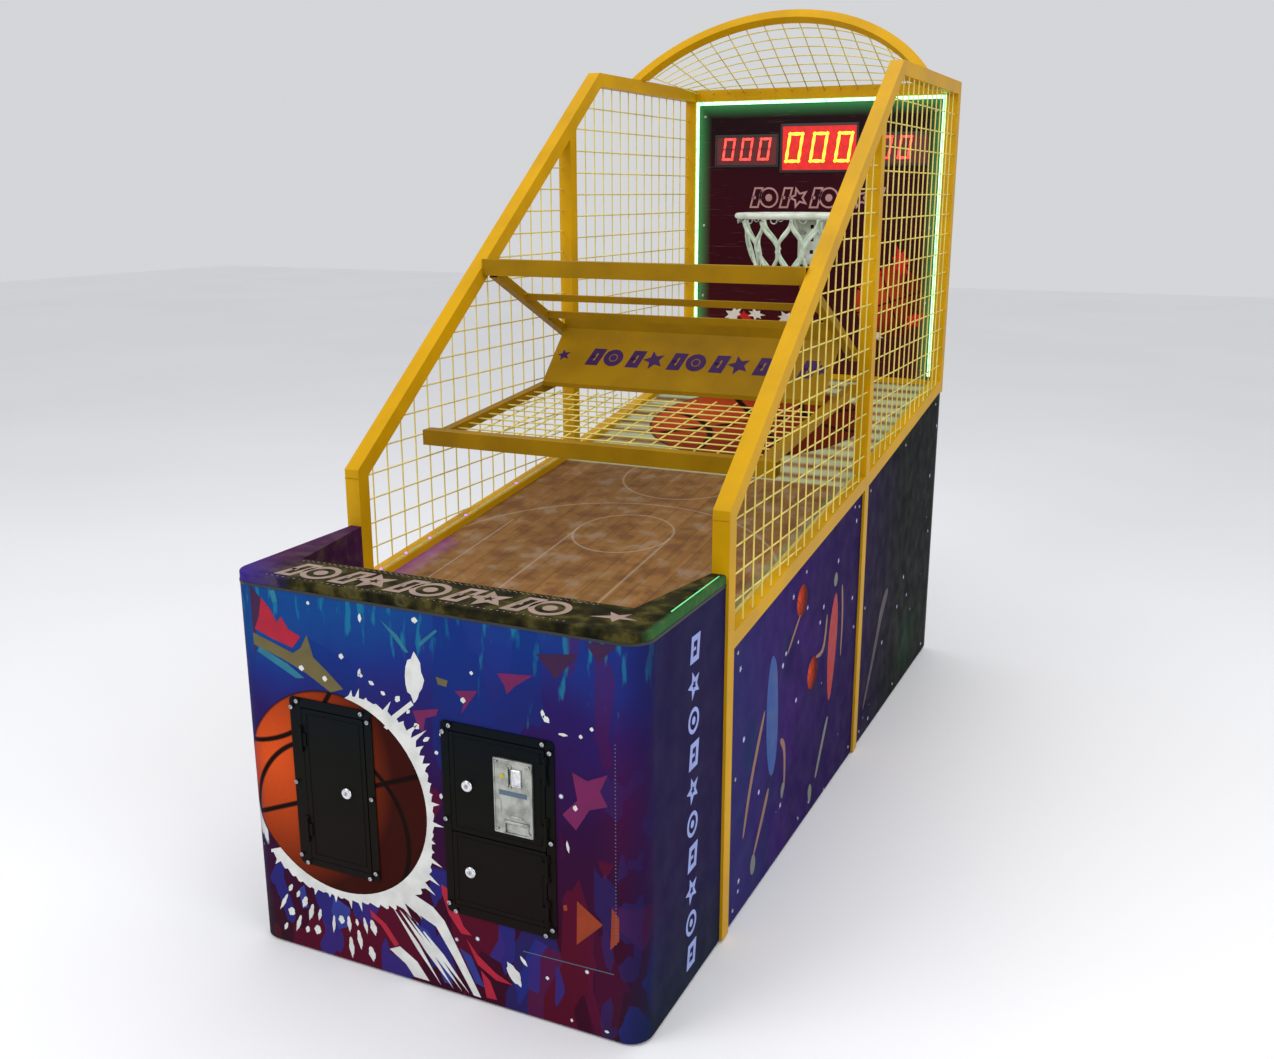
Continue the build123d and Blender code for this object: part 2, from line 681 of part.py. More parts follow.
def bezel_knuckles(x, side, middle):
    """The bezel's two knuckles, above and below the leaf's."""
    pieces = []
    for low in (middle - 30, middle + 15):
        tab = block(min(x, x + side * 6), max(x, x + side * 6), HINGE_DEPTH, FRAME_FACE, low, low + 15)
        pieces.append(barrel(x, low, low + 15, KNUCKLE_RADIUS) + tab)
    return pieces[0] + pieces[1]


def bezel_frame(bezel, leaves, side):
    """Pressed bezel: a flange with screw holes, a return into the cabinet and a stop lip."""
    opening = leaf_opening(leaves)
    frame = face_prism(plate(bezel, 10.0) - plate(opening), FRAME_FACE, 0)
    frame += face_prism(plate(opening, 0, 2.0) - plate(opening), 0, RETURN_DEPTH)
    frame += face_prism(plate(opening) - plate(opening, 0, -LIP), 0, 2)
    for x, z in screw_places(bezel):
        frame -= across(x, z, FRAME_FACE, 0, SCREW_RADIUS)
    for leaf in leaves:
        x = hinge_x(leaf, side)
        for middle in hinge_heights(leaf):
            frame += bezel_knuckles(x, side, middle)
            frame -= barrel(x, middle - 31, middle + 31, PIN_RADIUS)
    return frame


def coin_bezel():
    """The coin door's bezel, with a bar behind the joint of its leaves and a cash shelf."""
    frame = bezel_frame(COIN_BEZEL, [UPPER_LEAF, LOWER_LEAF], 1)
    x0, x1, z0, _ = leaf_opening([UPPER_LEAF, LOWER_LEAF])
    frame += block(x0, x1, 0, 2, 392, 408)
    return frame + block(x0, x1, RETURN_DEPTH, 235, z0 - 2, z0)


def door_leaf(leaf, side, lock):
    """A leaf with its knuckles and the hole for its lock."""
    door = face_prism(plate(leaf, 4.0), LEAF_FACE, LEAF_BACK)
    x = hinge_x(leaf, side)
    for middle in hinge_heights(leaf):
        door += leaf_knuckle(x, side, middle)
        door -= barrel(x, middle - 31, middle + 31, PIN_RADIUS + RUNNING)
    return door - across(*lock, LEAF_FACE, LEAF_BACK, LOCK_RADIUS)


def upper_leaf():
    door = door_leaf(UPPER_LEAF, 1, UPPER_LOCK)
    for cut in (grown(RETURN_BUTTON, 0.4), COIN_SLOT, RETURN_CUP):
        door -= face_prism(plate(cut), LEAF_FACE, LEAF_BACK)
    return door


def grown(rectangle, amount):
    x0, x1, z0, z1 = rectangle
    return x0 - amount, x1 + amount, z0 - amount, z1 + amount


def hinge_pins():
    """A pin through every pair of bezel knuckles."""
    pins = []
    for leaf, side in ((SERVICE_LEAF, -1), (UPPER_LEAF, 1), (LOWER_LEAF, 1)):
        for middle in hinge_heights(leaf):
            pins.append(barrel(hinge_x(leaf, side), middle - 30, middle + 30, PIN_RADIUS))
    return group(pins)


def lock_body(x, z):
    """Fixed part of a cam lock: domed collar, barrel through the leaf and a round nut."""
    collar = across(x, z, LEAF_FACE - 7, LEAF_FACE, COLLAR_RADIUS)
    collar = fillet(collar.edges().sort_by(Axis.Y)[0], 4)
    body = collar + across(x, z, LEAF_FACE, CAM_DEPTH - 2.5, LOCK_RADIUS)
    body += across(x, z, LEAF_BACK, LEAF_BACK + 4, COLLAR_RADIUS)
    return body - across(x, z, LEAF_FACE - 7, CAM_DEPTH, PLUG_RADIUS + RUNNING)


def lock_cam(x, z, reach):
    """Turning part of a cam lock: plug with a key slot, and a cam that points up unlocked."""
    plug = across(x, z, LEAF_FACE - 6.5, CAM_DEPTH + CAM_THICK, PLUG_RADIUS)
    half = CAM_WIDTH / 2
    blade = (x - half, x + half, z - half, z + reach)
    cam = face_prism(plate(blade, half - 0.5), CAM_DEPTH, CAM_DEPTH + CAM_THICK)
    key = block(x - 0.8, x + 0.8, LEAF_FACE - 6.5, LEAF_FACE - 2, z - 4, z + 4)
    return plug + cam - key


def door_screws():
    """Button-head screws that hold both bezels to the cabinet's face."""
    screws = []
    for x, z in screw_places(SERVICE_BEZEL) + screw_places(COIN_BEZEL):
        head = across(x, z, FRAME_FACE - 2.8, FRAME_FACE, 4.6)
        head = fillet(head.edges().sort_by(Axis.Y)[0], 1.8)
        screws.append(head + across(x, z, FRAME_FACE, WALL_THICK - 2, SCREW_RADIUS))
    return group(screws)


# --- Coin mechanism -------------------------------------------------------------------------
PLATE_THICK = 4.0
FLAP_PIVOT = (LEAF_FACE - 1.8, 446.0)  # depth and height of the flap's pivot
FLAP_ROD = 1.0


def coin_plate():
    """Cast face plate with its slot, button hole and return cup."""
    face = LEAF_FACE - PLATE_THICK
    body = face_prism(plate(COIN_PLATE, 3.0), face, LEAF_FACE)
    for cut in (grown(RETURN_BUTTON, 0.4), COIN_SLOT, RETURN_CUP):
        body -= face_prism(plate(cut), face, LEAF_FACE)
    depth, height = FLAP_PIVOT
    x0, x1 = RETURN_CUP[0] - 2.2, RETURN_CUP[1] + 2.2
    return body - rod((x0, depth, height), (x1, depth, height), FLAP_ROD + RUNNING)


def return_button():
    """Sprung push button that frees a stuck coin."""
    body = face_prism(plate(RETURN_BUTTON, 2.0), -PROUD, 2)
    return fillet(body.edges().group_by(Axis.Y)[0], 1.0)


def return_flap():
    """Flap of the coin return cup, hung on a thin rod."""
    depth, height = FLAP_PIVOT
    x0, x1, low, _ = RETURN_CUP
    flap = block(x0 + 0.5, x1 - 0.5, depth - 0.7, depth + 0.7, low + 0.6, height)
    return flap + rod((x0 - 2, depth, height), (x1 + 2, depth, height), FLAP_ROD)


def coin_acceptor():
    """Acceptor body behind the upper leaf, on four short pillars."""
    x0, x1, z0, z1 = 172.0, 246.0, 456.0, 582.0
    body = block(x0, x1, 9, 66, z0, z1) - block(x0 + 6, x1 - 6, 40, 66, z0 + 40, z1 - 10)
    for x in (x0 + 6, x1 - 6):
        for z in (z0 + 6, z1 - 4):
            body += across(x, z, LEAF_BACK, 9, 3.5)
    cup = grown(RETURN_CUP, 4.0)
    body += face_prism(plate(cup), LEAF_BACK, 28) - face_prism(plate(grown(RETURN_CUP, 2.0)), LEAF_BACK, 26)
    return body + block(200, 230, 9, 28, cup[3], z0)


def cash_box():
    """Open steel box on the shelf behind the lower leaf."""
    x0, x1, depth0, depth1, z1 = 66.0, 270.0, 30.0, 228.0, 320.0
    z0 = LOWER_LEAF[2] - LEAF_GAP
    box = block(x0, x1, depth0, depth1, z0, z1)
    return box - block(x0 + 1.5, x1 - 1.5, depth0 + 1.5, depth1 - 1.5, z0 + 1.5, z1)


# --- Electrics ------------------------------------------------------------------------------
def control_board():
    """Circuit board on four pillars, with its chips, relays and sockets."""
    low = FLOOR_BOARD[1]
    top = low + 11.6
    board = block(200, 400, 2120, 2280, low + 10, top)
    for x, depth in ((208, 2128), (392, 2128), (208, 2272), (392, 2272)):
        board += rod((x, depth, low), (x, depth, low + 10), 4)
    board += block(280, 320, 2180, 2220, top, top + 4)
    for i in range(5):
        board += block(214 + i * 36, 238 + i * 36, 2132, 2150, top, top + 16)
    for i in range(4):
        board += block(220 + i * 44, 252 + i * 44, 2256, 2268, top, top + 12)
    return board


def power_supply():
    """Perforated case of the mains power supply."""
    low = FLOOR_BOARD[1]
    case = block(-410, -200, 2150, 2260, low, low + 50)
    for i in range(9):
        x = -396 + i * 20
        case -= block(x, x + 10, 2165, 2245, low + 44, low + 50)
    return case


def power_inlet():
    """Mains inlet set in the rear panel: socket, fuse drawer and the switch's well."""
    body = face_prism(plate(INLET), LENGTH - 30, LENGTH)
    body -= face_prism(plate((-324, -296, 126, 146), 4.0), LENGTH - 18, LENGTH)
    body += across(-316, 136, LENGTH - 18, LENGTH - 6, 2)
    body += across(-304, 136, LENGTH - 18, LENGTH - 6, 2)
    body += across(-310, 131, LENGTH - 18, LENGTH - 6, 2)
    body -= face_prism(plate((-324, -296, 150, 158)), LENGTH - 1.5, LENGTH)
    body -= face_prism(plate(grown(ROCKER, 0.6)), LENGTH - 16, LENGTH)
    return body - rocker_axle(2.4, ROCKER_AXLE + RUNNING)


def rocker_axle(reach, radius):
    """Round bar along the rocker's pivot, standing out of its sides by reach."""
    x0, x1, z0, z1 = ROCKER
    middle = (z0 + z1) / 2
    return rod((x0 - reach, ROCKER_DEPTH, middle), (x1 + reach, ROCKER_DEPTH, middle), radius)


def power_rocker():
    """Rocker of the mains switch, with its faces sloped so that one side stands proud."""
    x0, x1, z0, z1 = ROCKER
    middle = (z0 + z1) / 2
    back = LENGTH - 11
    outline = [
        (back, z0 + 4),
        (LENGTH - 4.5, z0 + 0.5),
        (LENGTH - 3, middle),
        (LENGTH - 1, z1 - 1.5),
        (back, z1 - 4),
    ]
    return side_prism(outline, x0, x1) + rocker_axle(2.0, ROCKER_AXLE)


# --- Assembly -------------------------------------------------------------------------------
RIGHT_SIDE = {
    "front_post": lambda: cage_run(0),
    "diagonal_tube": lambda: cage_run(1),
    "top_tube": lambda: cage_run(2),
    "rear_post": lambda: cage_run(3),
    "mid_post": mid_post,
    "bottom_rail": bottom_rail,
    "side_mesh": side_mesh,
    "side_panels": side_panels,
}

NODES = {
    "roof_arch": roof_arch,
    "roof_mesh": roof_mesh,
    "upper_crossbar": upper_crossbar,
    "guard_frame": guard_frame,
    "sign_panel": sign_panel,
    "net_frame": net_frame,
    "net_mesh": net_mesh,
    "backboard_frame": backboard_frame,
    "backboard": backboard,
    "score_displays": score_displays,
    "led_strips": led_strips,
    "hoop_ring": hoop_ring,
    "hoop_mount": hoop_mount,
    "hoop_net": hoop_net,
    "ball_sensor": ball_sensor,
    "backboard_cover": backboard_cover,
    "cabinet_shell": cabinet_shell,
    "top_ledge": top_ledge,
    "playfield": playfield,
    "rear_panel": rear_panel,
    "base_floor": base_floor,
    "levelling_feet": lambda: group(levelling_foot(x, depth) for x, depth in FEET),
    "service_bezel": lambda: bezel_frame(SERVICE_BEZEL, [SERVICE_LEAF], -1),
    "service_door": lambda: door_leaf(SERVICE_LEAF, -1, SERVICE_LOCK),
    "service_lock": lambda: lock_body(*SERVICE_LOCK),
    "service_lock_cam": lambda: lock_cam(*SERVICE_LOCK, SERVICE_CAM),
    "coin_bezel": coin_bezel,
    "upper_coin_door": upper_leaf,
    "upper_lock": lambda: lock_body(*UPPER_LOCK),
    "upper_lock_cam": lambda: lock_cam(*UPPER_LOCK, COIN_CAM),
    "lower_coin_door": lambda: door_leaf(LOWER_LEAF, 1, LOWER_LOCK),
    "lower_lock": lambda: lock_body(*LOWER_LOCK),
    "lower_lock_cam": lambda: lock_cam(*LOWER_LOCK, COIN_CAM),
    "hinge_pins": hinge_pins,
    "door_screws": door_screws,
    "coin_plate": coin_plate,
    "coin_return_button": return_button,
    "coin_return_flap": return_flap,
    "coin_acceptor": coin_acceptor,
    "cash_box": cash_box,
    "control_board": control_board,
    "power_supply": power_supply,
    "power_inlet": power_inlet,
    "power_rocker": power_rocker,
}


def main():
    os.makedirs("parts", exist_ok=True)
    for name, build in RIGHT_SIDE.items():
        shape = build()
        export_step(shape, f"parts/right_{name}.step")
        export_step(mirrored(shape), f"parts/left_{name}.step")
    for name, build in NODES.items():
        export_step(build(), f"parts/{name}.step")


main()
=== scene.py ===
"""Arcade basketball hoop machine: its finishes, prints and fittings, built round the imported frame."""

import math
import random

import bpy
from mathutils import Matrix, Vector


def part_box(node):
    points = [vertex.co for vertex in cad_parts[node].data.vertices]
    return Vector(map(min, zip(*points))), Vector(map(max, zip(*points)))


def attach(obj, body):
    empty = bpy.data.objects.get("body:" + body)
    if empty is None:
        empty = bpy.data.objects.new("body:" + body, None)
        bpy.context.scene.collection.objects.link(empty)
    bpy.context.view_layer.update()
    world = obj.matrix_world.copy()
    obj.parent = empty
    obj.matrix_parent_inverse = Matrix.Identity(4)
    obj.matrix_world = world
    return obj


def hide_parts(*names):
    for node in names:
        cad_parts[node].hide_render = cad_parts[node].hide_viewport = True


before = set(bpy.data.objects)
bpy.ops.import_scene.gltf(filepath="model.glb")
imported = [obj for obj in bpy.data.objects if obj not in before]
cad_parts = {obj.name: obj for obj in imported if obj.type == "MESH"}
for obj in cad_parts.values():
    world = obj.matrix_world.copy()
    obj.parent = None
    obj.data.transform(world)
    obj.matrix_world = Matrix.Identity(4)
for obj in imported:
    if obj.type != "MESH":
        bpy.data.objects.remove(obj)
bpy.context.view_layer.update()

bl_info = {
    "name": "Basketball hoop machine",
    "version": (1, 0, 0),
    "blender": (4, 5, 0),
    "location": "View3D > Sidebar > Hoop machine",
    "description": "Dresses the frame of an arcade basketball machine with its pieces and finishes",
    "category": "Object",
}

MM = 0.001
BALL_X, BALL_Z, BALL_REACH = -245, 415, 240  # the cabinet's printed ball: middle and radius, in millimetres
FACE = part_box("cabinet_shell")[0].y  # the cabinet's front face
SIDES = (-1, 1)
COUNTERSINK = 0.0034  # how far the rear screws' heads sit in the board
SQUARE = 141.42  # width of a four-cornered cutout of radius 100


def deep(depth_mm):
    """Y of a depth in millimetres behind the cabinet's face."""
    return FACE + depth_mm * MM


def at(x, depth, z):
    """A place from its X, its depth behind the cabinet's face and its height, in millimetres."""
    return Vector((x * MM, deep(depth), z * MM))


# --- Colours and sizes that a user would change ------------------------------------------


def linear(code, alpha=True):
    """Linear RGB from an sRGB hex code."""
    parts = [int(code[i : i + 2], 16) / 255 for i in (1, 3, 5)]
    parts = [p / 12.92 if p <= 0.04045 else ((p + 0.055) / 1.055) ** 2.4 for p in parts]
    return (*parts, 1.0) if alpha else tuple(parts)


def shaded(colour, share):
    """A colour with a share of its light."""
    return (*(part * share for part in colour[:3]), 1.0)


def colour_choice(name, code, use):
    return bpy.props.FloatVectorProperty(
        name=name, description=use, subtype="COLOR", size=3, min=0, max=1, default=linear(code, False)
    )


def length_choice(name, value_mm, use):
    return bpy.props.FloatProperty(
        name=name, description=use, default=value_mm * MM, min=0.0001, unit="LENGTH", subtype="DISTANCE"
    )


class HOOP_PG_colours(bpy.types.PropertyGroup):
    """Paints, inks and lamps of the machine."""

    cage: colour_choice("Cage yellow", "#CE9B00", "Enamel on the square tubes")
    # The wire's yellow is painted paler than the cage's, as painted light from the strips.
    wire: colour_choice("Wire yellow", "#E4D270", "Enamel on the welded wire")
    ink_blue: colour_choice("Print blue", "#144482", "Top of the cabinet's print")
    ink_purple: colour_choice("Print purple", "#281A58", "Middle of the cabinet's print")
    ink_maroon: colour_choice("Print maroon", "#360C22", "Foot of the cabinet's print")
    ball: colour_choice("Ball orange", "#CE4E1E", "Printed basketballs")
    court: colour_choice("Court brown", "#926A3E", "Printed planks of the court")
    board: colour_choice("Board maroon", "#33101A", "Backboard print")
    lamp: colour_choice("Light strip", "#B8FFC8", "Strips round the backboard")
    digit: colour_choice("Digit red", "#FF4038", "Lit segments of the outer displays")


class HOOP_PG_sizes(bpy.types.PropertyGroup):
    """Sizes of the small fittings."""

    bead: length_choice("Weld bead", 4.2, "Width of a weld's ripples")
    screw: length_choice("Screw head", 9.4, "Diameter of the panel screws' heads")
    vinyl: length_choice("Vinyl thickness", 0.3, "Thickness of a cut vinyl shape")
    cord: length_choice("Net cord", 12.0, "Diameter of the net's braided cord")
    digit: length_choice("Digit height", 84.0, "Height of the outer displays' digits")
    trim: length_choice("Edge trim", 6.0, "Height of the black trim under the ledge")


def colours(name):
    return (*getattr(bpy.context.scene.hoop_colours, name), 1.0)


def sizes(name):
    return getattr(bpy.context.scene.hoop_sizes, name)


# --- Modelling ----------------------------------------------------------------------------


def deselect():
    if bpy.context.object and bpy.context.object.mode != "OBJECT":
        bpy.ops.object.mode_set(mode="OBJECT")
    bpy.ops.object.select_all(action="DESELECT")


def pick(*objects):
    """Selects only these objects, the first one active."""
    deselect()
    for chosen in objects:
        chosen.select_set(True)
    bpy.context.view_layer.objects.active = objects[0]
    return objects[0]


def settle(piece):
    """Moves a piece's place, turn and scale into its mesh."""
    bpy.context.view_layer.update()
    pick(piece)
    bpy.ops.object.transform_apply(location=True, rotation=True, scale=True)
    return piece


def shape_with(piece, kind, **settings):
    """Adds a modifier and applies it."""
    pick(piece)
    modifier = piece.modifiers.new(kind.title(), kind)
    for key, value in settings.items():
        setattr(modifier, key, value)
    bpy.ops.object.modifier_apply(modifier=modifier.name)
    return piece


def block(low, high, edge=0.0, steps=2):
    """A block between two corners with its edges eased."""
    deselect()
    bpy.ops.mesh.primitive_cube_add(size=1, location=(Vector(low) + Vector(high)) / 2)
    piece = bpy.context.object
    piece.scale = Vector(high) - Vector(low)
    settle(piece)
    if edge:
        shape_with(piece, "BEVEL", width=edge, segments=steps, limit_method="ANGLE")
    return piece


def rod(start, end, radius, sides=16, edge=0.0):
    """A round bar between two places, its rims eased."""
    start, end = Vector(start), Vector(end)
    deselect()
    bpy.ops.mesh.primitive_cylinder_add(vertices=sides, radius=radius, depth=(end - start).length)
    piece = bpy.context.object
    turn = (end - start).to_track_quat("Z", "Y").to_matrix().to_4x4()
    piece.matrix_world = Matrix.Translation((start + end) / 2) @ turn
    settle(piece)
    if edge:
        shape_with(piece, "BEVEL", width=edge, segments=3, limit_method="ANGLE", angle_limit=math.radians(50))
    return piece


def edit(piece, chosen, kind="FACE"):
    """Enters edit mode with the faces, edges or vertices that chosen accepts selected."""
    pick(piece)
    bpy.ops.object.mode_set(mode="EDIT")
    bpy.ops.mesh.select_mode(type=kind)
    bpy.ops.mesh.select_all(action="DESELECT")
    bpy.ops.object.mode_set(mode="OBJECT")
    mesh = piece.data
    items = {"FACE": mesh.polygons, "EDGE": mesh.edges, "VERT": mesh.vertices}[kind]
    for item in items:
        item.select = chosen(item)
    bpy.ops.object.mode_set(mode="EDIT")


def leave_edit():
    bpy.ops.object.mode_set(mode="OBJECT")


def join(pieces):
    bpy.context.view_layer.update()
    pick(*pieces)
    if len(pieces) > 1:
        bpy.ops.object.join()
    return settle(bpy.context.object)


def repeat(master, places):
    """Copies a master to every place, each copy with its own mesh, and joins them."""
    copies = []
    for place in places:
        copy = master.copy()
        copy.data = master.data.copy()
        bpy.context.collection.objects.link(copy)
        copy.matrix_world = place @ master.matrix_world
        copies.append(copy)
    bpy.data.objects.remove(master)
    return join(copies)


def finish(piece, name, material, body, replaces=(), angle=35):
    """Names a piece, gives it its finish and fixes it to its body."""
    settle(piece)
    piece.name = piece.data.name = name
    piece.data.materials.clear()
    piece.data.materials.append(material)
    bpy.ops.object.shade_smooth_by_angle(angle=math.radians(angle))
    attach(piece, body)
    if replaces:
        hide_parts(*replaces)
    return piece


def dress(material, *nodes):
    """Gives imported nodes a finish."""
    for name in nodes:
        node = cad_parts[name]
        node.data.materials.clear()
        node.data.materials.append(material)


def upon(origin, right, up):
    """A matrix that lays a flat shape on a surface: its X along right and its Y along up."""
    right, up = Vector(right).normalized(), Vector(up).normalized()
    turn = Matrix((right, up, right.cross(up))).transposed().to_4x4()
    return Matrix.Translation(origin) @ turn


def facing(y):
    """An upright plane seen from the player."""
    return upon((0, y, 0), (1, 0, 0), (0, 0, 1))


def front_plane(lift=0.0):
    """The cabinet's front face, seen from the player."""
    return facing(FACE - lift)


def cheek_plane(side, lift=0.0):
    """A cheek of the cabinet, seen from outside. Its X runs along the machine's own depth."""
    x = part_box("cabinet_shell")[1].x + lift
    return upon((side * x, FACE, 0), (0, side, 0), (0, 0, 1))


def on_plane(plane, u, v, turn=0.0, wide=1.0, tall=1.0):
    """A place on a plane, in millimetres, with a turn in degrees and a stretch."""
    place = plane @ Matrix.Translation((u * MM, v * MM, 0)) @ Matrix.Rotation(math.radians(turn), 4, "Z")
    return place @ Matrix.Diagonal((wide, tall, 1, 1))


def cutout(corners, radius_mm, pulls=(), hollow=0.0):
    """A flat polygon. Each pull (start, step, factor) moves corners in or out, and hollow leaves only a rim."""
    deselect()
    bpy.ops.mesh.primitive_circle_add(vertices=corners, radius=radius_mm * MM, fill_type="NGON")
    piece = bpy.context.object
    for start, step, factor in pulls:
        edit(piece, lambda corner: corner.index % step == start, "VERT")
        bpy.ops.transform.resize(value=(factor, factor, 1), center_override=(0, 0, 0))
        leave_edit()
    if hollow:
        edit(piece, lambda face: True)
        bpy.ops.mesh.inset(thickness=hollow * MM)
        bpy.ops.mesh.delete(type="FACE")
        leave_edit()
    return piece


STAR = ((1, 2, 0.45),)


def star(radius_mm, hollow=0.0):
    piece = cutout(10, radius_mm, STAR, hollow)
    piece.matrix_world = Matrix.Rotation(math.pi / 2, 4, "Z")
    return settle(piece)


def drawn(plane, outline, smooth=False):
    """A flat shape with a drawn outline of (across, up) points, in millimetres on a plane."""
    curve = bpy.data.curves.new("outline", "CURVE")
    curve.dimensions, curve.fill_mode, curve.resolution_u = "2D", "BOTH", 3
    spline = curve.splines.new("NURBS" if smooth else "POLY")
    spline.points.add(len(outline) - 1)
    for point, (u, v) in zip(spline.points, outline):
        point.co = (u * MM, v * MM, 0, 1)
    spline.order_u, spline.use_cyclic_u = 3, True
    piece = bpy.data.objects.new("outline", curve)
    bpy.context.collection.objects.link(piece)
    pick(piece)
    bpy.ops.object.convert(target="MESH")
    piece = bpy.context.object
    if piece.data.polygons[0].normal.z < 0:
        edit(piece, lambda face: True)
        bpy.ops.mesh.flip_normals()
        leave_edit()
    piece.matrix_world = plane
    return settle(piece)


def slanted(width, height, lean, rim):
    """A slanted block mark with an open middle, all in millimetres."""
    shape = cutout(4, 100)
    shape.matrix_world = Matrix.Rotation(math.pi / 4, 4, "Z")
    settle(shape)
    shape.scale = (width / SQUARE, height / SQUARE, 1)
    settle(shape)
    edit(shape, lambda corner: corner.co.y > 0, "VERT")
    bpy.ops.transform.translate(value=(lean * MM, 0, 0))
    leave_edit()
    if rim:
        edit(shape, lambda face: True)
        bpy.ops.mesh.inset(thickness=rim * MM)
        bpy.ops.mesh.delete(type="FACE")
        leave_edit()
    return shape


def lettering(plane, first, pitch, count, height, rim, solid=False):
    """A row of bold generic marks in place of words: slanted blocks, rings and stars in turn."""
    row = {0: [], 1: [], 2: []}
    for i in range(count):
        row[(0, 1, 0, 2)[i % 4]].append(on_plane(plane, first + i * pitch, 0))
    wide = pitch * 0.62
    shapes = [repeat(slanted(wide, height, height * 0.25, rim), row[0])]
    if row[1]:
        shapes.append(repeat(cutout(28, height * 0.5, hollow=rim), row[1]))
        shapes.append(repeat(cutout(20, height * 0.18), list(row[1])))
    if row[2]:
        shapes.append(repeat(star(height * 0.56, 0 if solid else rim), row[2]))
    bar = [place @ Matrix.Diagonal((0.34, 0.14, 1, 1)) for place in row[0]]
    shapes.append(repeat(slanted(wide, height, 0, 0), bar))
    return shapes


def vinyl(shapes, name, material, body="machine", slot="printed_board"):
    """Cut vinyl shapes, joined and given their thickness."""
    piece = join(shapes)
    shape_with(piece, "SOLIDIFY", thickness=sizes("vinyl"), offset=1.0)
    return finish(piece, name, material, body)


# --- Materials ----------------------------------------------------------------------------


def add(tree, kind, feeds=None, stops=(), **settings):
    """Adds a node with its settings and a ramp's stops, and feeds it: nodes, sockets, values or hex codes."""
    node = tree.nodes.new("ShaderNode" + kind)
    for key, value in settings.items():
        setattr(node, key, value)
    while 2 < len(stops) != len(node.color_ramp.elements):
        node.color_ramp.elements.new(0.5)
    for i, (place, code) in enumerate(stops):
        node.color_ramp.elements[i].position = place
        node.color_ramp.elements[i].color = linear(code) if isinstance(code, str) else code
    for socket, value in (feeds or {}).items():
        if isinstance(value, bpy.types.Node):
            value = value.outputs[0]
        elif isinstance(value, str):
            value = linear(value)
        if isinstance(value, bpy.types.NodeSocket):
            tree.links.new(value, node.inputs[socket])
        else:
            node.inputs[socket].default_value = value
    return node


def material_of(name, **values):
    """A material with its shader's uniform values set on their own sockets."""
    material = bpy.data.materials.new(name)
    material.use_nodes = True
    tree = material.node_tree
    shader = tree.nodes["Principled BSDF"]
    for key, value in values.items():
        shader.inputs[key.replace("_", " ")].default_value = value
    spot = add(tree, "TexCoord").outputs["Object"]
    return material, tree, shader, spot


def coated(name, light, dark, patch_mm, grain_mm, depth_mm, rough, **values):
    """A sprayed, moulded or plated finish: two close tones in soft patches, and an even grain."""
    material, tree, shader, spot = material_of(name, **values)
    patches = add(tree, "TexNoise", {"Vector": spot, "Scale": 1000 / patch_mm, "Detail": 4.0})
    spread = add(tree, "MapRange", {0: patches, 1: 0.36, 2: 0.64})
    tone = add(tree, "Mix", {0: spread, 6: dark, 7: light}, data_type="RGBA")
    tree.links.new(tone.outputs[2], shader.inputs["Base Color"])
    grain = add(tree, "TexNoise", {"Vector": spot, "Scale": 1000 / grain_mm, "Detail": 2.0})
    gloss = add(tree, "MapRange", {0: patches, 1: 0.3, 2: 0.7, 3: rough[0], 4: rough[1]})
    tree.links.new(gloss.outputs[0], shader.inputs["Roughness"])
    bump = add(tree, "Bump", {"Height": grain, "Distance": depth_mm * MM})
    tree.links.new(bump.outputs[0], shader.inputs["Normal"])
    return material


def overprint(tree, under, ink, field, edge, soft=0.0012, strength=1.0):
    """Lays an ink over a print where a field is below an edge."""
    feeds = {0: field, 1: edge - soft, 2: edge + soft, 3: strength, 4: 0.0}
    mask = add(tree, "MapRange", feeds)
    mix = add(tree, "Mix", {0: mask, 6: under, 7: ink}, data_type="RGBA")
    return mix.outputs[2]


def ring_field(tree, place, centre, radius):
    """How far a flat place lies from a circle's line, in metres."""
    reach = add(tree, "VectorMath", {0: place, 1: (*centre, 0)}, operation="DISTANCE").outputs["Value"]
    return add(tree, "Math", {0: add(tree, "Math", {0: reach, 1: radius}, operation="SUBTRACT")},
               operation="ABSOLUTE")


def printed_ball(tree, under, place, centre, radius, turn, light, dark, seam=0.022, upright=True,
                 arcs=((1.32, 0, 0.85), (-1.32, 0, 0.85))):
    """A printed basketball: a shaded disc with a level seam, an upright one, and arcs (x, y, radius)."""
    feeds = {"Vector": place, "Location": (*centre, 0), "Scale": (radius, radius, 1)}
    feeds["Rotation"] = (0, 0, math.radians(turn))
    own = add(tree, "Mapping", feeds, vector_type="TEXTURE").outputs[0]
    reach = add(tree, "VectorMath", {0: own}, operation="LENGTH").outputs["Value"]
    across, up, _ = add(tree, "SeparateXYZ", {0: own}).outputs
    seams = add(tree, "Math", {0: up}, operation="ABSOLUTE")
    lines = [add(tree, "Math", {0: across}, operation="ABSOLUTE")] if upright else []
    for line in lines + [ring_field(tree, own, (x, y), size) for x, y, size in arcs]:
        seams = add(tree, "Math", {0: seams, 1: line}, operation="MINIMUM")
    glow = add(tree, "VectorMath", {0: own, 1: (-0.55, 0.5, 0)}, operation="DISTANCE")
    shade = add(tree, "MapRange", {0: glow.outputs["Value"], 1: 0.05, 2: 1.35})
    skin = add(tree, "Mix", {0: shade, 6: light, 7: dark}, data_type="RGBA").outputs[2]
    pips = add(tree, "TexVoronoi", {"Vector": own, "Scale": 42.0})
    skin = overprint(tree, skin, dark, pips.outputs["Distance"], 0.16, 0.12, 0.35)
    skin = overprint(tree, skin, SEAM_INK, seams, seam, 0.008)
    skin = overprint(tree, SEAM_INK, skin, reach, 0.985, 0.012)
    return overprint(tree, under, skin, reach, 1.0, 0.006)


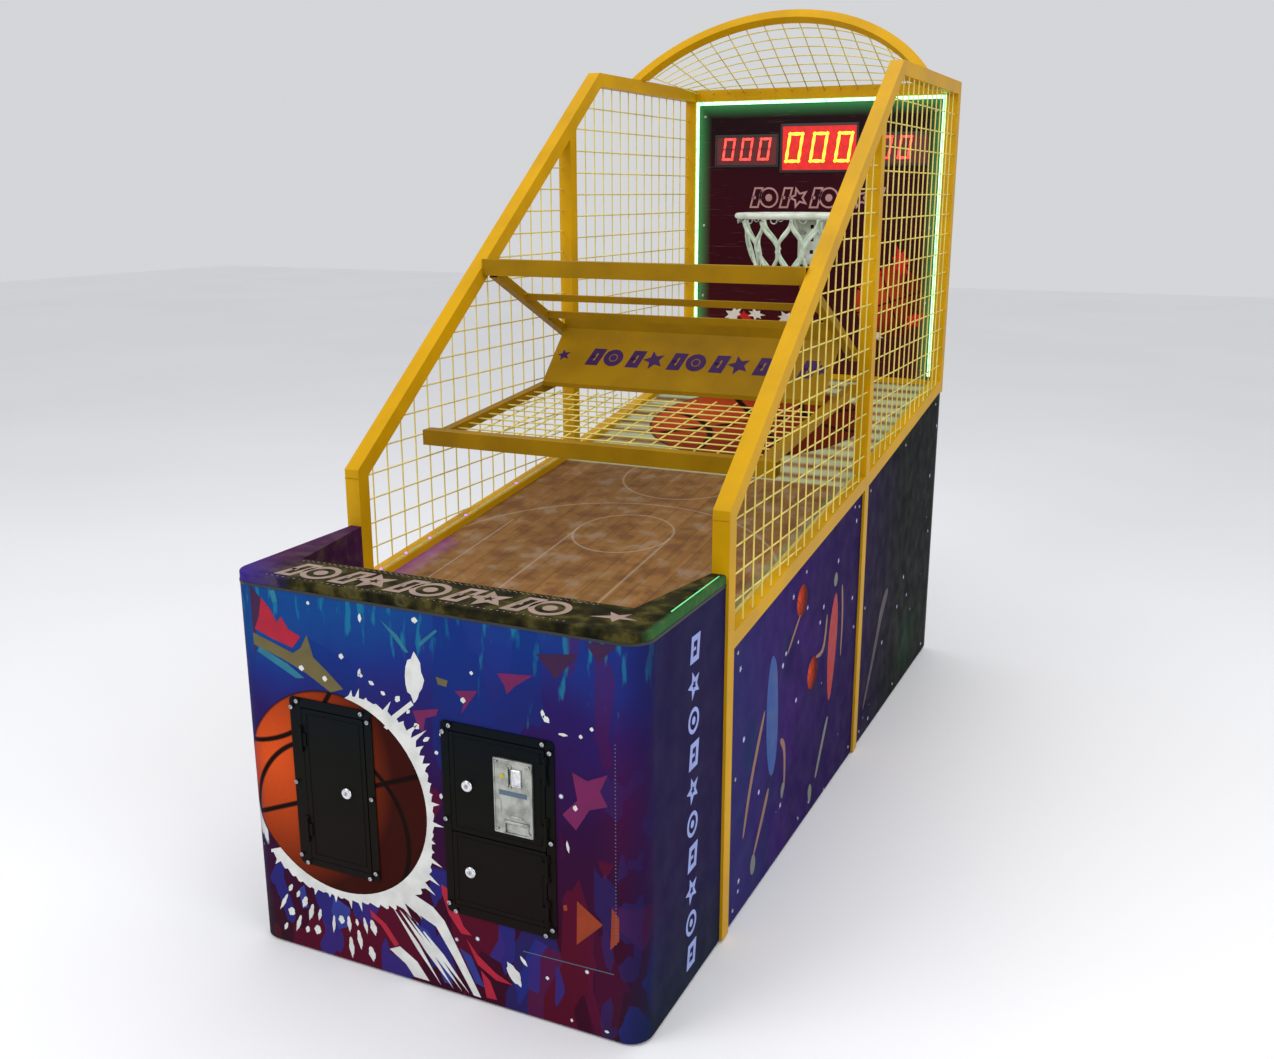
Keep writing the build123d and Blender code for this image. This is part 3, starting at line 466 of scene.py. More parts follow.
def specks(tree, under, ink, spot, spacing_mm, size, rare):
    """Small round drops of ink, a few to every spacing."""
    cells = add(tree, "TexVoronoi", {"Vector": spot, "Scale": 1000 / spacing_mm})
    lot = add(tree, "SeparateColor", {0: cells.outputs["Color"]}).outputs[0]
    field = add(tree, "Math", {0: lot, 1: rare, 2: cells.outputs["Distance"]}, operation="MULTIPLY_ADD")
    return overprint(tree, under, ink, field, size, 0.03)


def shards(tree, under, ink, spot, size_mm, turn, share, strength, seed, rarer=0.0):
    """Angular shards of ink, drawn out along one direction, and rarer where a field is higher."""
    feeds = {"Vector": spot, "Rotation": (0, math.radians(turn), 0), "Scale": (1, 1, 0.4)}
    feeds["Location"] = (seed, seed, seed)
    feeds = {"Vector": add(tree, "Mapping", feeds), "Scale": 1000 / size_mm}
    cells = add(tree, "TexVoronoi", feeds, distance="MANHATTAN")
    lot = add(tree, "SeparateColor", {0: cells.outputs["Color"]}).outputs[1]
    return overprint(tree, under, ink, add(tree, "Math", {0: lot, 1: rarer}, operation="ADD"), share, 0.004,
                     strength)


def film(tree, shader, colour, spot, wave_mm=60.0, depth_mm=0.05):
    """Closes a print: its colour, and the slight waviness of a laminated film over board."""
    tree.links.new(colour, shader.inputs["Base Color"])
    wave = add(tree, "TexNoise", {"Vector": spot, "Scale": 1000 / wave_mm, "Detail": 3.0})
    bump = add(tree, "Bump", {"Height": wave, "Distance": depth_mm * MM * 10})
    bump.inputs["Strength"].default_value = 0.35
    tree.links.new(bump.outputs[0], shader.inputs["Normal"])
    gloss = add(tree, "MapRange", {0: wave, 1: 0.3, 2: 0.7, 3: 0.5, 4: 0.66})
    tree.links.new(gloss.outputs[0], shader.inputs["Roughness"])
    shader.inputs["Specular IOR Level"].default_value = 0.03


SEAM_INK = "#160A08"
MADE = {}


def kept(maker):
    """A material is made once and shared by the pieces that have it."""

    def given():
        if maker.__name__ not in MADE:
            MADE[maker.__name__] = maker()
        return MADE[maker.__name__]

    return given


@kept
def cage_enamel():
    # Gloss alkyd enamel sprayed on steel tube: deep yellow, its faint orange peel drawn at 3 mm.
    light = colours("cage")
    return coated("sprayed_enamel", light, shaded(light, 0.82), 180, 3.0, 0.02, (0.4, 0.52),
                  Specular_IOR_Level=0.12)


@kept
def guard_paint_in_shade():
    # The same enamel on the guard, dulled by the balls and hands that strike it, its colour darkened to half as
    # painted shade, for the guard sits dim inside the cage.
    light = shaded(colours("cage"), 0.52)
    return coated("enamel_in_painted_shade", light, shaded(light, 0.8), 120, 3.0, 0.02, (0.45, 0.6),
                  Specular_IOR_Level=0.1)


@kept
def wire_enamel():
    # Dipped enamel on welded wire: thick and soft-edged, so that the wires catch light all round; its yellow is
    # painted paler than the tubes' as painted light from the strips.
    light = colours("wire")
    return coated("dipped_enamel_painted_light", light, shaded(light, 0.8), 90, 3.0, 0.03, (0.4, 0.52),
                  Specular_IOR_Level=0.16)


@kept
def white_enamel():
    # White gloss enamel on the ring and its bracket, yellowed a little in patches.
    return coated("white_enamel", "#DDE6DC", "#B9C4B4", 60, 2.5, 0.03, (0.3, 0.42))


@kept
def powder_coat():
    # Black polyester powder coat: satin, its pebble drawn at 1.2 mm, bluer high up, browner low down.
    made = coated("powder_coat", "#070806", "#020302", 120, 1.2, 0.03, (0.4, 0.55), Specular_IOR_Level=0.06)
    tree = made.node_tree
    height = add(tree, "SeparateXYZ", {0: add(tree, "TexCoord").outputs["Object"]}).outputs[2]
    cast = add(tree, "ValToRGB", {0: height}, stops=((0.28, "#1A0F0C"), (0.48, "#12130A"), (0.64, "#04101A")))
    shader = tree.nodes["Principled BSDF"]
    coat = shader.inputs["Base Color"].links[0].from_socket
    tone = add(tree, "Mix", {0: 0.6, 6: coat, 7: cast}, data_type="RGBA")
    tree.links.new(tone.outputs[2], shader.inputs["Base Color"])
    return made


@kept
def lock_chrome():
    # Chromium plate over a turned body: bright, with faint handling haze.
    return coated("chromium_plate", "#E6E6E8", "#C4C4C8", 8, 1.0, 0.002, (0.08, 0.2), Metallic=1.0)


@kept
def zinc_plate():
    # Bright zinc plate on pressed steel: cool grey with a soft spangle.
    return coated("zinc_plate", "#C6C8CA", "#9A9EA2", 6, 1.5, 0.006, (0.28, 0.42), Metallic=1.0)


@kept
def cast_zinc():
    # Die-cast zinc, tumbled and plated: silvery, with soft dents and a dull sheen.
    return coated("die_cast_zinc", "#B4B6AE", "#8A8D86", 22, 2.2, 0.08, (0.26, 0.42), Metallic=0.85)


@kept
def moulded_abs():
    # Black ABS from a spark-eroded mould: matt, with an even grain of about 1 mm.
    return coated("moulded_abs", "#202022", "#121214", 80, 1.0, 0.04, (0.45, 0.6))


@kept
def rubber():
    # Moulded nitrile rubber: dull black with a dusty bloom.
    return coated("moulded_rubber", "#262523", "#151413", 30, 1.5, 0.05, (0.7, 0.85))


@kept
def painted_fibreboard():
    # Fibreboard rolled with black emulsion: dull, with the roller's stipple at 4 mm.
    return coated("rolled_fibreboard", "#1A1918", "#0F0F0F", 200, 4.0, 0.12, (0.6, 0.78))


@kept
def braided_cord():
    # Bleached polyester braid: off-white, its strands drawn at 3 mm so that they show.
    return coated("braided_polyester", "#D6E6D4", "#B4C8B4", 30, 3.0, 0.12, (0.7, 0.85), Sheen_Weight=0.3)


def vinyl_of(name, code, glow=0.0):
    """Cut vinyl film: one even ink under a satin face, with faint lift lines. A glow makes the ink shine though
    it is no lamp: a painted glow.
    """
    light = linear(code)
    made = coated(name, light, shaded(light, 0.82), 40, 5.0, 0.02, (0.4, 0.55), Specular_IOR_Level=0.2)
    # A painted glow: the vinyl is no lamp.
    if glow:
        shader = made.node_tree.nodes["Principled BSDF"]
        shader.inputs["Emission Color"].default_value = light
        shader.inputs["Emission Strength"].default_value = glow
    return made


def lit(name, colour, strength, rim=None):
    """A lamp's face: glowing plastic, a little uneven where its diodes sit. Also used for painted glows on
    parts that are no lamp.
    """
    material, tree, shader, spot = material_of(name, Roughness=0.35, Emission_Strength=strength)
    dots = add(tree, "TexVoronoi", {"Vector": spot, "Scale": 60.0})
    dim = rim or shaded(colour, 0.7)
    tone = add(tree, "Mix", {0: dots.outputs["Distance"], 6: colour, 7: dim}, data_type="RGBA")
    tree.links.new(tone.outputs[2], shader.inputs["Base Color"])
    tree.links.new(tone.outputs[2], shader.inputs["Emission Color"])
    return material


@kept
def cabinet_print():
    # Digitally printed film laminated on birch board: night blue to violet and maroon, torn shards.
    material, tree, shader, spot = material_of("laminated_cabinet_print")
    x, y, z = add(tree, "SeparateXYZ", {0: spot}).outputs
    cloud = add(tree, "TexNoise", {"Vector": spot, "Scale": 4.5, "Detail": 5.0})
    rise = add(tree, "Math", {0: z, 1: 1.12, 2: -0.305}, operation="MULTIPLY_ADD")
    rise = add(tree, "Math", {0: cloud, 1: 0.35, 2: rise}, operation="MULTIPLY_ADD")
    rise = add(tree, "Math", {0: x, 1: -0.2, 2: rise}, operation="MULTIPLY_ADD")
    inks = ((0.08, colours("ink_maroon")), (0.36, "#2E1038"), (0.56, colours("ink_purple")))
    inks += ((0.74, "#1C2F78"), (0.88, colours("ink_blue")))
    base = add(tree, "ValToRGB", {0: rise}, stops=inks)
    brush = add(tree, "Mapping", {"Vector": spot, "Rotation": (0, 0.9, 0), "Scale": (3, 3, 0.6)})
    strokes = add(tree, "TexNoise", {"Vector": brush, "Scale": 14.0, "Detail": 3.0})
    drips = add(tree, "Math", {0: 0.516, 1: strokes}, operation="ADD")
    drips = add(tree, "Math", {0: z, 1: -0.6, 2: drips}, operation="MULTIPLY_ADD")
    base = overprint(tree, base, "#1C7A96", drips, 0.4, 0.03, 0.6)
    high_up = add(tree, "MapRange", {0: z, 1: 0.1, 2: 0.5, 3: 0.0, 4: 0.3})
    leftward = add(tree, "MapRange", {0: x, 1: 0.28, 2: 0.4, 3: 0.3, 4: 0.0})
    for ink, size_mm, turn, share, strength, seed, rarer in (
        ("#102C70", 150, 38, 0.2, 0.5, 3.0, 0.0),
        ("#5A1026", 90, -52, 0.3, 0.6, 11.0, high_up),
        ("#232C7C", 60, -52, 0.24, 0.7, 23.0, high_up),
        ("#4C1236", 60, 25, 0.26, 0.4, 31.0, leftward),
        ("#1E2866", 44, 25, 0.2, 0.45, 37.0, leftward),
    ):
        base = shards(tree, base, ink, spot, size_mm, turn, share, strength, seed, rarer)
    drawn_up = add(tree, "CombineXYZ", {0: x, 1: add(tree, "Math", {0: z, 1: 0.42}, operation="MULTIPLY")})
    streak = ring_field(tree, drawn_up, (0.47, 0.226), 0.0)
    base = overprint(tree, base, "#48103A", streak, 0.04, 0.05, 0.7)
    place = add(tree, "CombineXYZ", {0: x, 1: z})
    middle = (BALL_X * MM, BALL_Z * MM)
    reach = ring_field(tree, place, middle, 0.0)
    splash = add(tree, "Math", {0: strokes, 1: -0.07, 2: reach}, operation="MULTIPLY_ADD")
    for field, share, start in ((x, 1.05, 0.693), (z, 0.6, 0.0), (y, 5, -5 * FACE)):
        limit = add(tree, "Math", {0: field, 1: share, 2: start}, operation="MULTIPLY_ADD")
        splash = add(tree, "Math", {0: splash, 1: limit}, operation="MAXIMUM")
    base = overprint(tree, base, "#D9DAD6", splash, 0.225, 0.0015)
    arcs = ((-0.4, 1.9, 1.255), (-0.2, -0.3, 0.85))
    skin, shade = colours("ball"), "#340F0A"
    base = printed_ball(tree, base, place, middle, BALL_REACH * MM, 22, skin, shade, 0.024, False, arcs)
    base = specks(tree, base, "#D8DCEA", spot, 52, 0.11, 0.7)
    corner = add(tree, "Math", {0: 0.52, 1: add(tree, "Math", {0: x}, operation="ABSOLUTE")},
                 operation="SUBTRACT")
    cheek = add(tree, "Math", {0: 0.05 + FACE, 1: corner}, operation="ADD")
    cheek = add(tree, "Math", {0: cheek, 1: y}, operation="SUBTRACT")
    gloom = add(tree, "Math", {0: z, 1: 0.5}, operation="MULTIPLY")
    gloom = add(tree, "Math", {0: gloom, 1: corner}, operation="ADD")
    base = overprint(tree, base, "#161640", corner, 0.05, 0.03, 0.7)
    base = overprint(tree, base, "#1C153C", cheek, 0.03, 0.03, 0.9)
    base = overprint(tree, base, "#0C2420", gloom, 0.06, 0.1, 0.8)
    film(tree, shader, base, spot)
    return material


@kept
def side_print():
    # The same laminated film on the side boards: dark violet in front, fading to green-black behind.
    material, tree, shader, spot = material_of("laminated_side_print")
    _, y, z = add(tree, "SeparateXYZ", {0: spot}).outputs
    cloud = add(tree, "TexNoise", {"Vector": spot, "Scale": 3.0, "Detail": 4.0})
    back = add(tree, "MapRange", {0: y, 1: deep(462), 2: deep(2560)})
    run = add(tree, "Math", {0: cloud, 1: 0.16, 2: back}, operation="MULTIPLY_ADD")
    inks = ((0.12, "#0E2C54"), (0.3, "#230C4C"), (0.55, "#200A44"), (0.66, "#180C2C"), (0.84, "#080B0A"))
    base = add(tree, "ValToRGB", {0: run}, stops=inks)
    haze = add(tree, "TexNoise", {"Vector": spot, "Scale": 7.0, "Detail": 5.0})
    mist = add(tree, "Math", {0: 1.0, 1: haze}, operation="SUBTRACT")
    mist = add(tree, "Math", {0: mist, 1: back}, operation="ADD")
    base = overprint(tree, base, "#3A1468", mist, 0.7, 0.1, 0.45)
    place = add(tree, "CombineXYZ", {0: y, 1: z})
    for depth, height, size in ((981, 667, 44), (1097, 427, 46)):
        middle = (deep(depth), height * MM)
        base = printed_ball(tree, base, place, middle, size * MM, 24, "#D2441C", "#5A1510")
    green = ring_field(tree, place, (deep(2244), 0.136), 0.0)
    base = overprint(tree, base, "#0A2E18", green, 0.1, 0.09, 0.8)
    base = specks(tree, base, "#B9BDE0", spot, 70, 0.1, 0.8)
    film(tree, shader, base, spot)
    return material


def court_lines(tree, x, y, across):
    """Fields of the court's painted lines: two rings, an arc and the three lanes."""
    fields = [
        ring_field(tree, across, (-0.01, deep(965)), 0.137),
        ring_field(tree, across, (0.0, deep(700)), 0.49),
        ring_field(tree, across, (-0.02, deep(1440)), 0.195),
    ]
    beyond = add(tree, "Math", {0: add(tree, "Math", {0: y, 1: deep(965)}, operation="SUBTRACT"), 1: 0.0},
                 operation="MAXIMUM")
    for lane in (-0.352, -0.145, 0.127):
        line = add(tree, "Math", {0: add(tree, "Math", {0: x, 1: lane}, operation="SUBTRACT")},
                   operation="ABSOLUTE")
        fields.append(add(tree, "Math", {0: line, 1: beyond}, operation="ADD"))
    return fields


@kept
def court_print():
    # Maple-plank print under floor varnish: boards 58 mm wide, worn lines, a ball far back, with painted violet
    # light by the left rail and a painted green glint by the right.
    material, tree, shader, spot = material_of("varnished_court_print")
    x, y, _ = add(tree, "SeparateXYZ", {0: spot}).outputs
    brown = colours("court")
    feeds = {"Vector": add(tree, "CombineXYZ", {0: y, 1: x}), "Color1": brown, "Color2": shaded(brown, 0.78)}
    feeds |= {"Mortar": shaded(brown, 0.5), "Scale": 1.0, "Mortar Size": 0.0012, "Mortar Smooth": 0.2}
    feeds |= {"Brick Width": 0.62, "Row Height": 0.058}
    base = add(tree, "TexBrick", feeds)
    along = add(tree, "Mapping", {"Vector": spot, "Scale": (60, 4, 4)})
    grain = add(tree, "TexNoise", {"Vector": along, "Scale": 1.0, "Detail": 6.0})
    scuffs = add(tree, "TexNoise", {"Vector": spot, "Scale": 16.0, "Detail": 6.0})
    base = overprint(tree, base, "#6E4A30", grain, 0.44, 0.1, 0.45)
    base = overprint(tree, base, "#5E3A2E", scuffs, 0.42, 0.06, 0.5)
    base = overprint(tree, base, "#A39484", add(tree, "Math", {0: 1.0, 1: scuffs}, operation="SUBTRACT"),
                     0.4, 0.06, 0.35)
    across = add(tree, "CombineXYZ", {0: x, 1: y})
    for field in court_lines(tree, x, y, across):
        base = overprint(tree, base, "#B8AC9A", field, 0.003, 0.0016, 0.4)
    stripes = add(tree, "Math", {0: add(tree, "Math", {0: y, 1: deep(1500)}, operation="SUBTRACT"),
                                 1: 0.045}, operation="PINGPONG")
    before = add(tree, "Math", {0: add(tree, "Math", {0: deep(1500), 1: y}, operation="SUBTRACT"), 1: 0.0},
                 operation="MAXIMUM")
    stripes = add(tree, "Math", {0: stripes, 1: before}, operation="ADD")
    base = overprint(tree, base, "#B9C8A4", stripes, 0.026, 0.012, 0.75)
    orange, shade = "#B8441C", "#5A180C"
    base = printed_ball(tree, base, across, (-0.005, deep(2010)), 0.365, 35, orange, shade, 0.03)
    # Painted light: violet along the left rail past the front, green along the right edge.
    past = add(tree, "Math", {0: add(tree, "Math", {0: y, 1: deep(760)}, operation="SUBTRACT"), 1: 0.0},
               operation="MAXIMUM")
    left = add(tree, "Math", {0: add(tree, "Math", {0: 0.46, 1: x}, operation="ADD"), 1: past}, operation="ADD")
    base = overprint(tree, base, "#9A4FB0", left, 0.02, 0.05, 0.8)
    right = add(tree, "Math", {0: 0.46, 1: x}, operation="SUBTRACT")
    base = overprint(tree, base, "#7CC49A", right, 0.01, 0.03, 0.6)
    film(tree, shader, base, spot, 30.0)
    return material


@kept
def board_print():
    # Back-printed acrylic: dark maroon, with painted green light and a painted glow near the edges, where the
    # light strips graze it.
    material, tree, shader, spot = material_of("back_printed_acrylic", IOR=1.49)
    x, _, z = add(tree, "SeparateXYZ", {0: spot}).outputs
    low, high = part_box("backboard")
    lift = add(tree, "MapRange", {0: z, 1: low.z, 2: high.z})
    cloud = add(tree, "TexNoise", {"Vector": spot, "Scale": 5.0, "Detail": 5.0})
    inks = ((0.1, "#4C1A1C"), (0.5, "#3A0E18"), (0.85, colours("board")), (1.1, "#241418"))
    base = add(tree, "ValToRGB", {0: add(tree, "Math", {0: cloud, 1: 0.2, 2: lift},
                                         operation="MULTIPLY_ADD")}, stops=inks)
    place = add(tree, "CombineXYZ", {0: x, 1: z})
    base = printed_ball(tree, base, place, (0.3, 1.3), 0.13, 20, "#D24A20", "#5C160E")
    scratch = add(tree, "Mapping", {"Vector": spot, "Rotation": (0, 0.9, 0), "Scale": (1, 1, 30)})
    lines = add(tree, "TexNoise", {"Vector": scratch, "Scale": 9.0, "Detail": 2.0})
    base = overprint(tree, base, "#6A4A48", lines, 0.3, 0.03, 0.5)
    # Painted light: green near the sides and top, glowing there, for the strips' light falling on the board.
    side = add(tree, "Math", {0: high.x, 1: add(tree, "Math", {0: x}, operation="ABSOLUTE")},
               operation="SUBTRACT")
    edge = add(tree, "Math", {0: side, 1: add(tree, "Math", {0: high.z, 1: z}, operation="SUBTRACT")},
               operation="MINIMUM")
    base = overprint(tree, base, "#3E9A5C", edge, 0.016, 0.045, 0.9)
    tree.links.new(base, shader.inputs["Emission Color"])
    painted_glow_falloff = add(tree, "MapRange", {0: edge, 1: 0.0, 2: 0.06, 3: 0.55, 4: 0.0})
    tree.links.new(painted_glow_falloff.outputs[0], shader.inputs["Emission Strength"])
    film(tree, shader, base, spot, 120.0, 0.02)
    return material


@kept
def ledge_moulding():
    # Vacuum-formed ABS with a worn, speckled print: olive-black, with painted violet and blue light at the left
    # rim and a painted green glint along the right edge.
    material, tree, shader, spot = material_of("speckled_abs_ledge")
    x, y, _ = add(tree, "SeparateXYZ", {0: spot}).outputs
    blot = add(tree, "TexNoise", {"Vector": spot, "Scale": 26.0, "Detail": 5.0})
    inks = ((0.35, "#15140C"), (0.5, "#2B2812"), (0.62, "#4A4420"), (0.75, "#2A2A24"))
    base = add(tree, "ValToRGB", {0: blot}, stops=inks)
    # Painted light: violet over the left rim and blue at its front corner, for the lamps' coloured light.
    left = add(tree, "Math", {0: 0.493, 1: x}, operation="ADD")
    base = overprint(tree, base, "#4A1A4C", left, 0.07, 0.08, 0.9)
    rim = add(tree, "Math", {0: add(tree, "Math", {0: left, 1: deep(60)}, operation="SUBTRACT"), 1: y},
              operation="ADD")
    base = overprint(tree, base, "#2E2890", rim, 0.02, 0.09, 0.8)
    # A painted glint: a thin green line along the right edge.
    right = add(tree, "Math", {0: 0.493, 1: x}, operation="SUBTRACT")
    base = overprint(tree, base, "#3A7A44", right, 0.004, 0.01, 0.7)
    film(tree, shader, base, spot, 40.0)
    return material


@kept
def circuit_board():
    # Glass-epoxy laminate under green solder resist, with its copper tracks showing as paler lines.
    material, tree, shader, spot = material_of("green_solder_resist", Roughness=0.35)
    feeds = {"Vector": spot, "Scale": 60.0, "Color1": "#0C4A22", "Color2": "#0A3A1C", "Mortar": "#3C7A3A"}
    tracks = add(tree, "TexBrick", feeds)
    tree.links.new(tracks.outputs[0], shader.inputs["Base Color"])
    return material


# --- Operators ----------------------------------------------------------------------------


class Maker:
    """What every operator here shares."""

    bl_options = {"REGISTER", "UNDO"}

    def execute(self, context):
        self.make()
        return {"FINISHED"}


def bead_line(start, end):
    """Places for the ripples of one weld between two points."""
    start, end = Vector(start), Vector(end)
    count = max(2, round((end - start).length / (sizes("bead") * 0.72)))
    turn = (end - start).to_track_quat("X", "Z").to_matrix().to_4x4()
    return [Matrix.Translation(start.lerp(end, i / count)) @ turn for i in range(count + 1)]


def bead_loop(corners):
    return [p for a, b in zip(corners, corners[1:] + corners[:1]) for p in bead_line(a, b)]


def weld(places, name):
    """Rippled weld beads at every place."""
    deselect()
    bpy.ops.mesh.primitive_ico_sphere_add(subdivisions=1, radius=sizes("bead") / 2)
    ripple = bpy.context.object
    ripple.scale = (0.62, 1.0, 1.0)
    settle(ripple)
    return finish(repeat(ripple, places), name, cage_enamel(), "machine", angle=80)


class HOOP_OT_cage(Maker, bpy.types.Operator):
    """Paints the cage's tubes and lays the weld beads at their joints"""

    bl_idname = "hoop.cage"
    bl_label = "Cage tubes"

    def make(self):
        tubes = ("front_post", "diagonal_tube", "top_tube", "rear_post", "mid_post", "bottom_rail")
        dress(cage_enamel(), *(f"{side}_{tube}" for side in ("left", "right") for tube in tubes))
        dress(cage_enamel(), "roof_arch", "backboard_frame")
        # The guard's parts get the enamel darkened as painted shade.
        dress(guard_paint_in_shade(), "upper_crossbar", "guard_frame", "net_frame")
        places = []
        for side in SIDES:
            low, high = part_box("upper_crossbar")
            x = side * (high.x - 0.0005)
            ends = [(low.y, low.z), (high.y, low.z), (high.y, high.z), (low.y, high.z)]
            places += bead_loop([Vector((x, y, z)) for y, z in ends])
            for depth, low, high in ((1055, 1454, 1481), (1542, 1216, 1243), (1542, 1122, 1147)):
                ends = [(435, low), (460, low), (460, high), (435, high)]
                places += bead_loop([at(side * x, depth, z) for x, z in ends])
            for depth, size in ((1206, 18), (1332, 20)):
                base = 1460 - (depth + size / 2 - 1055) * 0.489
                ends = [(depth, base), (depth + size, base), (depth + size, base + size), (depth, base + size)]
                places += bead_loop([at(side * 435, d, z) for d, z in ends])
            for depth in (422, 462):
                height = 1012 + (depth - 422) * 0.5
                places += bead_line(at(side * 461, depth, height), at(side * 499, depth, height))
            for a, b in (((462, 748), (462, 714)), ((1542, 841), (1542, 880)), ((1582, 846), (1582, 885))):
                places += bead_line(at(side * 498.3, *a), at(side * 498.3, *b))
            for depth in (2052, 2082):
                places += bead_line(at(side * 461, depth, 2043), at(side * 499, depth, 2043))
        weld(places, "weld_beads")


class HOOP_OT_wires(Maker, bpy.types.Operator):
    """Paints the welded wire of the sides, the roof and the lower net"""

    bl_idname = "hoop.wires"
    bl_label = "Wire mesh"

    def make(self):
        # The wire enamel's paler yellow is painted light from the strips.
        dress(wire_enamel(), "left_side_mesh", "right_side_mesh", "net_mesh")
        roof = bpy.data.objects.new("roof_wires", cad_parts["roof_mesh"].data.copy())
        bpy.context.collection.objects.link(roof)
        edit(roof, lambda face: True)
        bpy.ops.mesh.remove_doubles(threshold=0.00001)
        leave_edit()
        shape_with(roof, "DECIMATE", ratio=0.4)
        finish(roof, "roof_wires", wire_enamel(), "machine", ("roof_mesh",), 60)


class HOOP_OT_sign(Maker, bpy.types.Operator):
    """Paints the sign panel and sets its cut vinyl shapes"""

    bl_idname = "hoop.sign"
    bl_label = "Sign panel"

    def make(self):
        # The sign panel is part of the guard: its enamel is darkened as painted shade.
        dress(guard_paint_in_shade(), "sign_panel")
        middle = (at(0, 1297, 1134) + at(0, 1443, 1280)) / 2
        plane = upon(middle + Vector((0, -0.0001, 0.0001)), (1, 0, 0), (0, 1, 1))
        shapes = lettering(plane, -300, 66, 11, 62, 17, solid=True)
        shapes.append(repeat(star(22), [on_plane(plane, x, 0) for x in (-400, 405)]))
        vinyl(shapes, "sign_marks", vinyl_of("purple_vinyl", "#3A1450"), slot="yellow_paint")


class HOOP_OT_backboard(Maker, bpy.types.Operator):
    """Prints the backboard, with its outlined marks, trims and screws"""

    bl_idname = "hoop.backboard"
    bl_label = "Backboard"

    def make(self):
        dress(board_print(), "backboard")
        dress(powder_coat(), "backboard_cover")
        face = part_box("backboard")[0].y
        plane = facing(face - 0.0001)
        title = on_plane(plane, 0, 1662)
        vinyl(lettering(title, -228, 57, 9, 74, 6.5), "board_outlines", vinyl_of("rose_vinyl", "#B88A88"),
              slot="backboard_print")
        for name, code, marks in (
            ("board_white_marks", "#E4DCD4", ((-300, 1232, 30), (-210, 1236, 24), (-90, 1228, 26),
                                              (250, 1180, 22))),
            ("board_red_marks", "#C81E18", ((-255, 1226, 22), (-45, 1240, 30), (330, 1440, 40),
                                            (240, 1400, 26), (390, 1240, 30))),
        ):
            shapes = [
                repeat(cutout(14, size, ((1, 2, 0.6), (0, 4, 1.25))),
                       [on_plane(plane, x, z, size * 7, 1.3, 0.8)])
                for x, z, size in marks
            ]
            vinyl(shapes, name, vinyl_of(name.replace("marks", "vinyl"), code), slot="backboard_print")
        heads = [on_plane(plane, x, z) for x in (-425, 425) for z in (1060, 1300, 1560, 1950)]
        screws(heads, "board_screws", "machine")


def screw_head():
    """A domed cross-recess screw head on the XY plane, facing +Z."""
    radius = sizes("screw") / 2
    head = rod((0, 0, 0), (0, 0, radius * 0.62), radius, 20)
    edit(head, lambda face: face.normal.z > 0.9)
    bpy.ops.mesh.inset(thickness=radius * 0.28)
    bpy.ops.transform.translate(value=(0, 0, radius * 0.16))
    bpy.ops.mesh.inset(thickness=radius * 0.3)
    bpy.ops.transform.translate(value=(0, 0, radius * 0.06))
    bpy.ops.mesh.inset(thickness=radius * 0.12)
    bpy.ops.transform.translate(value=(0, 0, -radius * 0.4))
    leave_edit()
    return head


def screws(places, name, body, replaces=()):
    return finish(repeat(screw_head(), places), name, zinc_plate(), body, replaces, angle=40)


DIGIT_SLANT = 8.0


def segment_places(plane, x, z, tall, marks):
    """Places of a digit's lit segments: marks names them a to g."""
    half, wide = tall / 2, tall * 0.5
    lean = math.tan(math.radians(DIGIT_SLANT))
    seats = {
        "a": (0, half, 0), "g": (0, 0, 0), "d": (0, -half, 0),
        "b": (wide / 2, half / 2, 1), "c": (wide / 2, -half / 2, 1),
        "f": (-wide / 2, half / 2, 1), "e": (-wide / 2, -half / 2, 1),
    }
    places = []
    for mark in marks:
        u, v, upright = seats[mark]
        turn = 90 - DIGIT_SLANT if upright else 0
        stretch = (half if upright else wide) / 100
        places.append(on_plane(plane, x + u + v * lean, z + v, turn, stretch * 0.84, tall / 760))
    return places


def segment():
    """A six-sided bar 100 mm long, drawn to the size of each segment."""
    bar = cutout(6, 50)
    edit(bar, lambda corner: abs(corner.co.x) < 0.049, "VERT")
    bpy.ops.transform.resize(value=(1.76, 1, 1), center_override=(0, 0, 0))
    leave_edit()
    return bar


